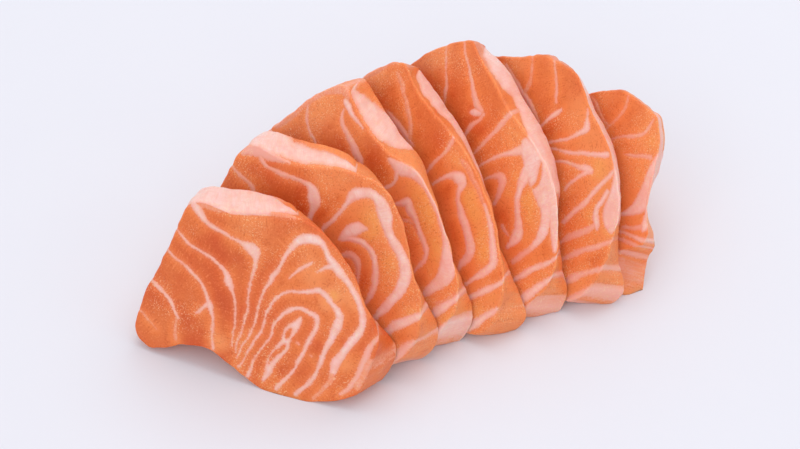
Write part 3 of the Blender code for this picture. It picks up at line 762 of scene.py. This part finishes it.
@dataclass
class Shell:
    """The surface of one slice while it is made, one row for each point.

    Attributes:
        points: places in the slice's own frame, in millimetres.
        source: places on the near face's plane that the points show.
        share: shares of the way to the far face.
        rise: how far the rim faces up there, 0 on the cut faces.
        quads: the four-sided faces.
        triangles: the three-sided faces.
        fields: what the marbling measures at the points.
    """

    points: np.ndarray
    source: np.ndarray
    share: np.ndarray
    rise: np.ndarray
    quads: np.ndarray
    triangles: np.ndarray
    fields: dict[str, np.ndarray] = field(default_factory=dict)


@dataclass
class SalmonSlice:
    """One slice of raw salmon, all lengths in millimetres.

    A round is (inset, share of the thickness) of a rounded edge, a ripple (pitch, part)
    of the rim's unevenness and a wave (length, part on the cut faces, part added on the
    rim) of the meat's. Seams are how deep the lines of fat sink in, and beside them the
    points stay close as far as the line margin. The crown's fat lies above crown_from of
    the slice's height, and outranks the face's own lines where it is deeper than
    crown_wins. The slants are the far outline's shift at each landmark, as (along, up,
    share of the top slant).
    """

    cut: SliceCut
    seed: int
    bend_radius_along: float = 260.0
    bend_radius_up: float = 400.0
    near_round: Point = (1.1, 0.11)
    far_round: Point = (0.8, 0.12)
    sole_share: float = 0.6
    corner_share: float = 0.7
    corner_span: int = 4
    corner_spread: int = 12
    faced_from: float = -0.3
    ripple_depth: float = 0.4
    ripples: tuple[Point, ...] = ((5.0, 0.65), (1.9, 0.35))
    rim_gain: float = 0.15
    rim_bulge: float = 0.1
    rim_points: int = 600
    rim_rings: int = 26
    near_round_rings: int = 8
    far_round_rings: int = 6
    near_grid: float = 0.23
    far_grid: float = 0.6
    clearance: float = 0.6
    blocks: int = 24
    thinned: int = 3
    line_margin: float = 0.5
    seam_depth: float = 0.18
    rim_seam_depth: float = 0.45
    seam_reach: float = 0.7
    wave_depth: float = 0.22
    waves: tuple[Stop, ...] = ((7.0, 0.7, 0.5), (2.1, 0.3, 0.6))
    edge_share: float = 0.1
    crown_softness: float = 0.48
    crown_ragged: float = 0.035
    crown_pitch: Stop = (1.3, 4.1, 1e9)
    crown_from: float = 0.5
    crown_depth: float = 3.0
    crown_wins: float = 0.2
    crown_grain: float = 1.4
    slants: tuple[Stop, ...] = (
        (3.5, 1.0, 0.0), (-3.0, -1.5, 0.0), (-6.5, -3.0, 0.0), (-7.0, -3.0, 0.0), (-4.0, -2.2, 0.5),
        (0.0, -0.8, 1.0), (0.0, 0.0, 1.0), (2.0, -2.2, 1.0), (-0.5, 0.0, 0.3), (0.0, 0.0, 0.0),
        (0.0, 0.5, 0.0), (0.0, -1.5, 0.0), (0.0, 2.2, 0.0), (1.5, 1.2, 0.0), (3.0, -0.4, 0.0),
    )

    def loop_and_shift(self) -> tuple[np.ndarray, np.ndarray, np.ndarray]:
        """Trace the slice's outline with its ripples.

        Returns:
            The near outline, the far outline's shift against it, and its outward normals.
        """
        across, upwards = self.cut.top_slant
        slant = np.array([(a + s * across, u + s * upwards) for a, u, s in self.slants])
        for landmark, along, up in self.cut.nudges:
            slant[landmark] += along, up
        fine = hermite(np.hstack([self.cut.outline, slant]), True, SPAN_SAMPLES)
        lengths = arc_length(fine)
        at = np.linspace(0.0, lengths[-1], self.rim_points, endpoint=False)
        curve = np.stack([np.interp(at, lengths, column) for column in fine.T], axis=1)
        plain, shift = curve[:, :2], curve[:, 2:]
        normal = outward(plain)
        turn = 2 * math.pi * at / lengths[-1]
        circle = np.stack([np.cos(turn), np.sin(turn), 0 * at], axis=1) * lengths[-1] / (2 * math.pi)
        nicks = sum(
            part * smooth_noise(circle / pitch, self.seed + 3 * i)
            for i, (pitch, part) in enumerate(self.ripples)
        )
        lift = self.ripple_depth * nicks + self.rim_gain
        for along, up, reach, height in self.cut.peaks:
            lift += height * np.exp(-((plain - (along, up)) ** 2).sum(axis=1) / reach**2)
        return plain + normal * lift[:, None], shift, normal

    def roundness(self, loop: np.ndarray, normal: np.ndarray) -> np.ndarray:
        """Share out the rounding of the edges.

        Args:
            loop: the near outline.
            normal: its outward normals.

        Returns:
            Each point's share of the full rounding, less on the sole and at tight corners.
        """
        span, spread = self.corner_span, range(-self.corner_spread, self.corner_spread + 1)
        before, after = loop - np.roll(loop, span, axis=0), np.roll(loop, -span, axis=0) - loop
        cross = before[:, 0] * after[:, 1] - before[:, 1] * after[:, 0]
        turn = np.arctan2(cross, (before * after).sum(axis=1))
        radius = np.linalg.norm(after, axis=1) / np.maximum(turn, LEAST_TURN)
        faced = np.clip((normal[:, 0] + normal[:, 1]) - self.faced_from, 0.0, 1.0)
        share = self.sole_share + (1.0 - self.sole_share) * faced
        share = np.minimum(share, self.corner_share * radius / self.near_round[0])
        least = np.min([np.roll(share, k) for k in spread], axis=0)
        return np.mean([np.roll(least, k) for k in spread], axis=0)[:, None]

    def profile(self) -> list[Point]:
        """Lay out the rings of the rim from the near face to the far one.

        Returns:
            Each ring's share of the thickness and inset.
        """
        near_in, near_deep = self.near_round
        far_in, far_deep = self.far_round
        rings = []
        for i in range(self.near_round_rings):
            turn = math.pi / 2 * i / self.near_round_rings
            rings.append((near_deep * (1 - math.cos(turn)), near_in * (1 - math.sin(turn))))
        for i in range(self.rim_rings + 1):
            share = near_deep + (1 - near_deep - far_deep) * i / self.rim_rings
            rings.append((share, -self.rim_bulge * math.sin(math.pi * i / self.rim_rings)))
        for i in range(1, self.far_round_rings + 1):
            turn = math.pi / 2 * i / self.far_round_rings
            rings.append((1 - far_deep * (1 - math.sin(turn)), far_in * (1 - math.cos(turn))))
        return rings

    def slab(self, plane: np.ndarray, share: float) -> np.ndarray:
        """Place points on the bent slab.

        Args:
            plane: rows of (along, up).
            share: their share of the way from the near face to the far one.

        Returns:
            Rows of three coordinates in the slice's own frame.
        """
        along, up = np.maximum(0.0, -plane[:, 0]), np.maximum(0.0, plane[:, 1])
        bend = along**2 / (2 * self.bend_radius_along) + up**2 / (2 * self.bend_radius_up)
        depth = (self.cut.thickness + self.cut.flare * along) * share + bend
        return np.stack([plane[:, 0], plane[:, 1], -depth], axis=1)

    def fill(
        self, loop: np.ndarray, grid: float, marbling: Marbling | None = None
    ) -> tuple[np.ndarray, np.ndarray]:
        """Fill a loop with even triangles.

        Args:
            loop: the closed outline, anticlockwise.
            grid: spacing of the points inside.
            marbling: keeps this spacing along the lines of fat and doubles it elsewhere.

        Returns:
            The points inside, and the triangles, whose indices count the loop first.
        """
        low, high = loop.min(axis=0), loop.max(axis=0)
        rows = np.arange(low[1], high[1], grid * math.sqrt(3) / 2)
        columns = np.arange(low[0] - grid, high[0] + grid, grid)
        row, column = np.arange(len(rows))[:, None], np.arange(len(columns))
        across, up = np.meshgrid(columns, rows)
        across = across + np.where(row % 2, grid / 2, 0.0)
        points = np.stack([across.ravel(), up.ravel()], axis=1)
        coarse = ((row % 2 == 0) & ((column + row // 2) % 2 == 0)).ravel()
        within = inside(points, loop)
        points, coarse = points[within], coarse[within]
        if marbling:
            points = points[coarse | (marbling.measure(points)["fat"] > -self.line_margin)]
        clear = np.concatenate([
            ((block[:, None, :] - loop[None, :, :]) ** 2).sum(axis=2).min(axis=1)
            for block in np.array_split(points, self.blocks)
        ])
        points = points[clear > (self.clearance * grid) ** 2]
        every = np.vstack([loop, points])
        made = geometry.delaunay_2d_cdt(
            [Vector(p) for p in every], [], [list(range(len(loop)))], 1, WELD, True
        )
        order = np.array([source[0] for source in made[3]])
        faces = order[np.array(made[2])]
        return points, faces[inside(every[faces].mean(axis=1), loop)]

    def shell(self, marbling: Marbling) -> Shell:
        """Make the plain slab, with rings round its rim and a fill across both cut faces.

        Args:
            marbling: tells the near face where it needs its finest points.

        Returns:
            The slab, with nothing measured on it yet.
        """
        loop, shift, normal = self.loop_and_shift()
        rings = self.profile()
        normal_in = normal * self.roundness(loop, normal)
        steep = math.tan(math.radians(self.cut.lean))
        table = np.clip(loop[:, 1] * steep / self.cut.thickness, 0.0, 1.0)[:, None]
        rims = [loop + shift * np.minimum(share, table) - normal_in * inset for share, inset in rings]
        near, near_faces = self.fill(rims[0], self.near_grid, marbling)
        far, far_faces = self.fill(rims[-1], self.far_grid)
        from_rim = far[:, None, :] - rims[-1][None, :: self.thinned, :]
        weight = 1.0 / ((from_rim**2).sum(axis=2) + 1.0) ** 2
        far_shift = (weight @ (shift * table)[:: self.thinned]) / weight.sum(axis=1, keepdims=True)

        count = self.rim_points
        filled = count * len(rings)
        i = np.arange(count)
        j = (i + 1) % count
        ring_faces = np.stack([i, count + i, count + j, j], axis=1)
        near_index = np.concatenate([i, filled + np.arange(len(near))])
        far_index = np.concatenate([i + filled - count, filled + len(near) + np.arange(len(far))])
        rim_slabs = [self.slab(rim, share) for rim, (share, _) in zip(rims, rings)]
        rim_shares = np.repeat([share for share, _ in rings], count)
        return Shell(
            points=np.vstack([*rim_slabs, self.slab(near, 0.0), self.slab(far, 1.0)]),
            source=np.vstack([*(loop - normal_in * inset for _, inset in rings), near, far - far_shift]),
            share=np.concatenate([rim_shares, np.zeros(len(near)), np.ones(len(far))]),
            rise=np.concatenate([np.tile(normal[:, 1], len(rings)), np.zeros(len(near) + len(far))]),
            quads=np.vstack([ring * count + ring_faces for ring in range(len(rings) - 1)]),
            triangles=np.vstack([near_index[near_faces], far_index[far_faces][:, ::-1]]),
        )

    def add_crown_fat(self, shell: Shell) -> None:
        """Lay the fat that was under the skin on the upper rim.

        Args:
            shell: the slab, whose marbling is changed.
        """
        fields, along = shell.fields, shell.source[:, 0]
        places, begins, ends = (np.array(column) for column in zip(*self.cut.crown_fat))
        ragged = self.crown_ragged * smooth_noise(along[:, None] / self.crown_pitch, self.seed)
        begin = np.interp(along, places, begins, left=2.0, right=2.0) + ragged
        end = np.interp(along, places, ends, left=0.0, right=0.0) - ragged
        deep = np.minimum(shell.share - begin, end - shell.share) * self.cut.thickness * self.crown_softness
        high = shell.source[:, 1] > self.crown_from * max(up for _, up in self.cut.outline)
        deep = np.where((shell.rise > 0.0) & high, np.minimum(deep, self.crown_depth), -np.inf)
        crown = (deep > fields["fat"]) | (deep > self.crown_wins)
        fields["fat"] = np.maximum(deep, fields["fat"])
        fields["pale"] = np.where(crown, self.cut.crown_tone.value, fields["pale"])
        fields["run"] = np.where(crown, along * self.crown_grain, fields["run"])

    def relieve(self, shell: Shell) -> None:
        """Press the seams and soft waves into the slab along its normals.

        Args:
            shell: the marbled slab, whose points are moved.
        """
        normal = np.zeros_like(shell.points)
        for faces in (shell.quads, shell.triangles):
            a, b, c = (shell.points[faces[:, corner]] for corner in (0, 1, -1))
            face = np.cross(b - a, c - a)
            for column in faces.T:
                np.add.at(normal, column, face)
        normal /= np.linalg.norm(normal, axis=1, keepdims=True) + 1e-12
        seam = np.exp(-np.abs(shell.fields["fat"]) / self.seam_reach)
        near, far = (np.clip(part / self.edge_share, 0.0, 1.0) for part in (shell.share, 1.0 - shell.share))
        rim = near * far
        depth = (self.seam_depth + rim * (self.rim_seam_depth - self.seam_depth)) * seam
        depth += self.wave_depth * sum(
            (part + rim_part * rim) * (0.5 + 0.5 * smooth_noise(shell.points / length, self.seed + 7 * i))
            for i, (length, part, rim_part) in enumerate(self.waves)
        )
        shell.points = shell.points - normal * depth[:, None]

    def stand(self, points: np.ndarray) -> np.ndarray:
        """Turn points into the fan and set them on the table.

        Args:
            points: places in the slice's own frame.

        Returns:
            Places in the scene, none of them below the table, in millimetres.
        """
        fan, lean = math.radians(-self.cut.fan), math.radians(self.cut.lean)
        turn = np.array([[math.cos(fan), -math.sin(fan), 0], [math.sin(fan), math.cos(fan), 0], [0, 0, 1]])
        tilt = np.array(
            [[1, 0, 0], [0, math.cos(lean), -math.sin(lean)], [0, math.sin(lean), math.cos(lean)]]
        )
        placed = points @ (turn @ tilt).T + np.array([*self.cut.foot, 0.0])
        placed[:, 2] = np.maximum(placed[:, 2], 0.0)
        return placed

    def mesh(self, shell: Shell) -> bpy.types.Object:
        """Make the mesh object, with the marbling stored on it.

        Args:
            shell: the finished surface.

        Returns:
            The object, linked to the scene.
        """
        data = bpy.data.meshes.new(f"salmon_{self.cut.name}")
        faces = shell.quads.tolist() + shell.triangles.tolist()
        data.from_pydata((self.stand(shell.points) * MM).tolist(), [], faces)
        data.validate()
        data.shade_smooth()
        fields = shell.fields
        for name in ("fat", "pale", "tint"):
            stored = data.attributes.new(name, "FLOAT", "POINT").data
            stored.foreach_set("value", fields[name].astype(np.float32))
        grain = np.stack([fields["run"], fields["fat"], shell.share * self.cut.thickness], axis=1)
        stored = data.attributes.new("grain", "FLOAT_VECTOR", "POINT").data
        stored.foreach_set("vector", grain.astype(np.float32).ravel())
        piece = bpy.data.objects.new(f"salmon_{self.cut.name}", data)
        bpy.context.scene.collection.objects.link(piece)
        return piece

    def build(self) -> bpy.types.Object:
        """Make the slice in its place in the fan.

        Returns:
            Its mesh object.
        """
        marbling = Marbling(self.cut)
        shell = self.shell(marbling)
        shell.fields = marbling.measure(shell.source)
        self.add_crown_fat(shell)
        shell.fields["tint"] = marbling.tint(shell.source)
        self.relieve(shell)
        return self.mesh(shell)


# --- Finishes ---


def shade(red: int, green: int, blue: int) -> Colour:
    """A colour seen on a screen, as the linear values that a shader takes."""
    seen = (red / 255, green / 255, blue / 255)
    return tuple(c / 12.92 if c <= 0.04045 else ((c + 0.055) / 1.055) ** 2.4 for c in seen)


@dataclass
class Wire:
    """A shader socket that takes part in plain arithmetic."""

    graph: "Graph"
    socket: bpy.types.NodeSocket

    def _math(self, operation: str, *others: "Wire | float") -> "Wire":
        """The result of one Math node."""
        return self.graph.node("ShaderNodeMath", {"operation": operation}, dict(enumerate(others)))

    def __add__(self, other: "Wire | float") -> "Wire":
        """self + other."""
        return self._math("ADD", self, other)

    __radd__ = __add__

    def __mul__(self, other: "Wire | float") -> "Wire":
        """self * other."""
        return self._math("MULTIPLY", self, other)

    __rmul__ = __mul__

    def __sub__(self, other: "Wire | float") -> "Wire":
        """self - other."""
        return self._math("SUBTRACT", self, other)

    def __rsub__(self, other: "Wire | float") -> "Wire":
        """other - self."""
        return self._math("SUBTRACT", other, self)

    def clip(self) -> "Wire":
        """self held between 0 and 1."""
        return self._math("MINIMUM", self._math("MAXIMUM", self, 0.0), 1.0)

    def step(self, low: float, high: float, to_low: float = 0.0, to_high: float = 1.0) -> "Wire":
        """self eased from to_low at low to to_high at high."""
        return self.graph.node(
            "ShaderNodeMapRange", {"interpolation_type": "SMOOTHSTEP"},
            {"Value": self, "From Min": low, "From Max": high, "To Min": to_low, "To Max": to_high},
        )


class Graph:
    """The node tree of one material."""

    def __init__(self, name: str) -> None:
        """Start a material with an empty node tree.

        Args:
            name: the material's name.
        """
        self.material = bpy.data.materials.new(name)
        self.material.use_nodes = True
        self.tree = self.material.node_tree
        self.tree.nodes.clear()

    def node(
        self, kind: str, settings: dict[str, object] | None = None, inputs: dict | None = None,
        out: int | str = 0,
    ) -> Wire:
        """Add a node.

        Args:
            kind: Blender's name of its type.
            settings: its options, set first.
            inputs: values or wires, by socket name or number.
            out: which output to take.

        Returns:
            The wire from that output.
        """
        made = self.tree.nodes.new(kind)
        for key, value in (settings or {}).items():
            setattr(made, key, value)
        for key, value in (inputs or {}).items():
            if isinstance(value, Wire):
                self.tree.links.new(value.socket, made.inputs[key])
            else:
                made.inputs[key].default_value = value
        return Wire(self, made.outputs[out] if len(made.outputs) else None)

    def attribute(self, name: str, out: str = "Fac") -> Wire:
        """A value stored on the mesh."""
        return self.node("ShaderNodeAttribute", {"attribute_name": name}, out=out)

    def place(self) -> Wire:
        """Where the shaded point is on the object."""
        return self.node("ShaderNodeTexCoord", out="Object")

    def vector(self, operation: str, one: Wire, two: Colour) -> Wire:
        """The result of one Vector Math node."""
        return self.node("ShaderNodeVectorMath", {"operation": operation}, {0: one, 1: two})

    def noise(self, vector: Wire, scale: float, detail: float = 2.0, roughness: float = 0.5) -> Wire:
        """Noise about 0.5."""
        inputs = {"Vector": vector, "Scale": scale, "Detail": detail, "Roughness": roughness}
        return self.node("ShaderNodeTexNoise", {}, inputs)

    def layered(self, base: Wire | Colour, *layers: tuple[Wire | float, Wire | Colour]) -> Wire:
        """Lay colours over one another.

        Args:
            base: the lowest colour.
            layers: the others in turn, each as (share, colour).

        Returns:
            The blended colour.
        """
        for share, colour in layers:
            one, two = ((*c, 1.0) if isinstance(c, tuple) else c for c in (base, colour))
            base = self.node("ShaderNodeMix", {"data_type": "RGBA"}, {0: share, 6: one, 7: two}, out=2)
        return base

    def finish(self, inputs: dict[str, object]) -> bpy.types.Material:
        """Dress the material in one Principled shader.

        Args:
            inputs: values or wires, by socket name.

        Returns:
            The material.
        """
        shader = self.node("ShaderNodeBsdfPrincipled", {"subsurface_method": "RANDOM_WALK"}, inputs)
        self.node("ShaderNodeOutputMaterial", {}, {"Surface": shader})
        return self.material


@dataclass(frozen=True)
class RawSalmon:
    """Moist raw salmon, orange meat with pale lines of fat."""

    deep: Colour = shade(196, 72, 26)
    meat: Colour = shade(222, 98, 42)
    light: Colour = shade(238, 130, 66)
    glow: Colour = shade(246, 152, 92)
    golden: Colour = shade(246, 170, 92)
    faint: Colour = shade(240, 148, 106)
    rose: Colour = shade(242, 174, 156)
    white: Colour = shade(250, 212, 203)
    # painted highlight: the colour of the tiny wet glints painted into the meat's colour
    glint: Colour = shade(255, 226, 178)
    roughness: float = 0.44
    refraction: float = 1.36
    scatter: float = 0.35
    scatter_colour: Colour = (1.0, 0.32, 0.14)
    scatter_depth: float = 0.0014
    moisture: float = 0.06
    moisture_roughness: float = 0.2
    bump_strength: float = 0.4
    bump_height: float = 0.0002
    fibre_grain: Stop = (1.1, 0.6, 0.35)
    cross_grain: Stop = (3.2, 0.3, 0.25)
    fat_grain: Stop = (0.4, 0.3, 0.2)
    glint_scale: float = 3200.0
    fine_scale: float = 2300.0
    patch_scale: float = 420.0
    cloud_scale: float = 110.0
    cluster_scale: float = 100.0

    def material(self, name: str, seed: int) -> bpy.types.Material:
        """Make the finish for one slice.

        Args:
            name: the material's name.
            seed: shifts the patterns.

        Returns:
            The material, which reads the marbling stored on the mesh.
        """
        g = Graph(name)
        fat, pale, tint = (g.attribute(n) for n in ("fat", "pale", "tint"))
        grain = g.attribute("grain", "Vector")
        place = g.vector("ADD", g.place(), (0.1 * seed, 0.07 * seed, 0.0))
        fibre = g.noise(g.vector("MULTIPLY", grain, self.fibre_grain), 1.0, roughness=0.55)
        across = g.noise(g.vector("MULTIPLY", grain, self.cross_grain), 1.0, detail=1.0)
        uneven = g.noise(g.vector("MULTIPLY", grain, self.fat_grain), 1.0, roughness=0.6)
        fine = g.noise(place, self.fine_scale, roughness=0.6)
        patch = g.noise(place, self.patch_scale)
        cloud = g.noise(place, self.cloud_scale)

        ragged = fat + (fibre - 0.5) * 0.6 + (fine - 0.5) * 0.7
        fatty = ragged.step(-0.28, 0.2)
        thick = fat.step(0.05, 0.8)
        halo = fat.step(-1.2, 0.1)
        strand = across * 0.5 + fine * 0.7
        meat = g.layered(
            self.light,
            ((cloud - tint * 0.3).step(0.35, 0.75, 0.05, 0.95), self.meat),
            (fat.step(-0.5, -2.6, 0.0, 0.3), self.deep),
            ((tint * -1.0 + (patch - 0.5) * 0.6).step(0.0, 1.2, 0.0, 0.7), self.deep),
            ((tint + (patch - 0.5) * 0.3).step(0.0, 0.7, 0.0, 0.75), self.glow),
            ((tint + (patch - 0.5) * 0.5).step(0.6, 1.5, 0.0, 0.6), self.golden),
            (strand.step(0.62, 0.84, 0.0, 0.5), self.glow),
            (strand.step(0.58, 0.4, 0.0, 0.45), self.deep),
            (halo * 0.25, self.faint),
        )
        marbled = g.layered(
            self.faint,
            (pale.step(0.3, 0.6) * (thick * 0.5 + 0.5), self.rose),
            (pale.step(0.55, 1.0) * (thick * 0.7 + 0.3) * uneven.step(0.3, 0.6, 0.4, 1.0), self.white),
            ((patch * 0.6 + uneven * 0.4).step(0.45, 0.7, 0.0, 0.5), self.rose),
            ((across + (fine - 0.5) * 0.8).step(0.4, 0.7, 0.0, 0.4), self.rose),
        )
        # painted highlights: tiny wet glints painted into the base colour as light specks, clustered near
        # the fat
        cluster = g.noise(place, self.cluster_scale) + halo * 0.06 + tint * 0.08
        glint_noise = g.noise(place, self.glint_scale, detail=1.0)
        painted_glints = (glint_noise.step(0.58, 0.68) * cluster.step(0.48, 0.66)).clip()
        colour = g.layered(meat, (fatty, marbled), (painted_glints * 0.45, self.glint))

        height = fine * 0.3 + fibre * 0.3 + across * 0.3 + fatty * 0.15
        relief = {"Strength": self.bump_strength, "Distance": self.bump_height, "Height": height}
        return g.finish({
            "Base Color": colour,
            "Roughness": (patch - 0.5) * 0.25 + self.roughness - painted_glints * 0.2,
            "Normal": g.node("ShaderNodeBump", {}, relief),
            "IOR": self.refraction,
            "Subsurface Weight": self.scatter,
            "Subsurface Radius": self.scatter_colour,
            "Subsurface Scale": self.scatter_depth,
            "Coat Weight": self.moisture,
            "Coat Roughness": self.moisture_roughness,
        })


@dataclass(frozen=True)
class WhiteTable:
    """Smooth matt white surface."""

    white: Colour = shade(226, 227, 235)
    greyer: Colour = shade(221, 222, 231)
    mottle_scale: float = 30.0
    roughness: float = 0.7

    def material(self) -> bpy.types.Material:
        """Make the finish.

        Returns:
            The material.
        """
        g = Graph("white_table")
        mottle = g.noise(g.place(), self.mottle_scale).step(0.3, 0.7, 0.0, 0.12)
        colour = g.layered(self.white, (mottle, self.greyer))
        return g.finish({"Base Color": colour, "Roughness": self.roughness})


# --- Table, light and camera ---


@dataclass(frozen=True)
class Lamp:
    """A soft square lamp: its place and side in metres, its strength in watts."""

    name: str
    place: Stop
    side: float
    watts: float
    colour: Colour

    def hang(self, target: Vector) -> None:
        """Hang the lamp.

        Args:
            target: where it looks.
        """
        light = bpy.data.lights.new(self.name, "AREA")
        light.size, light.energy, light.color = self.side, self.watts, self.colour
        link(bpy.data.objects.new(self.name, light), Vector(self.place), target)


def link(thing: bpy.types.Object, place: Vector, target: Vector) -> None:
    """Put a lamp or camera in its place in the scene.

    Args:
        thing: the lamp or camera.
        place: where it goes, in metres.
        target: where it looks.
    """
    thing.location = place
    thing.rotation_euler = (target - place).to_track_quat("-Z", "Y").to_euler()
    bpy.context.scene.collection.objects.link(thing)


@dataclass
class Studio:
    """A plain table under soft light, seen through the photograph's camera."""

    table_half: float = 3.0
    lens: float = 85.0
    sensor: float = 36.0
    nearest: float = 0.01
    elevation: float = 42.0
    distance: float = 0.4439
    target: Stop = (-0.0016, -0.0066, 0.015)
    sky: float = 0.8
    sky_colour: Spot = (0.97, 0.97, 1.0, 1.0)
    lamps: tuple[Lamp, ...] = (
        Lamp("key", (0.2, 0.35, 0.95), 0.9, 4.0, (1.0, 0.99, 0.98)),
        Lamp("fill", (-0.3, -0.9, 0.6), 1.0, 2.6, (1.0, 1.0, 1.0)),
    )

    def table(self) -> None:
        """Lay the table that the slices stand on."""
        h = self.table_half
        data = bpy.data.meshes.new("table_top")
        data.from_pydata([(-h, -h, 0), (h, -h, 0), (h, h, 0), (-h, h, 0)], [], [(0, 1, 2, 3)])
        data.materials.append(WhiteTable().material())
        table = bpy.data.objects.new("table_top", data)
        bpy.context.scene.collection.objects.link(table)

    def light(self) -> None:
        """Light the scene from above and a little behind, and softly from the front."""
        world = bpy.data.worlds.new("studio")
        world.use_nodes = True
        background = world.node_tree.nodes["Background"].inputs
        background["Color"].default_value = self.sky_colour
        background["Strength"].default_value = self.sky
        bpy.context.scene.world = world
        for lamp in self.lamps:
            lamp.hang(Vector(self.target))

    def camera(self) -> None:
        """Set the camera at the photograph's viewing angle."""
        up = math.radians(self.elevation)
        target = Vector(self.target)
        data = bpy.data.cameras.new("camera")
        data.lens, data.sensor_width, data.clip_start = self.lens, self.sensor, self.nearest
        camera = bpy.data.objects.new("camera", data)
        link(camera, target + Vector((0.0, -math.cos(up), math.sin(up))) * self.distance, target)
        bpy.context.scene.camera = camera

    def build(self) -> None:
        """Set up the table, light, camera and a plain picture."""
        self.table()
        self.light()
        self.camera()
        bpy.context.scene.view_settings.view_transform = "Standard"


def main() -> None:
    """Build the row of slices in the frame, and the studio around it."""
    logging.basicConfig(level=logging.INFO, format="%(name)s: %(message)s")
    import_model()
    finish = RawSalmon()
    for number, cut in enumerate(CUTS, 1):
        piece = SalmonSlice(cut, seed=11 * number).build()
        piece.data.materials.append(finish.material(f"raw_salmon_{number}", number))
        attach(piece, "root")
        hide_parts(cut.name)
        LOG.info("%s has %d faces", piece.name, len(piece.data.polygons))
    Studio().build()


if __name__ == "__main__":
    main()
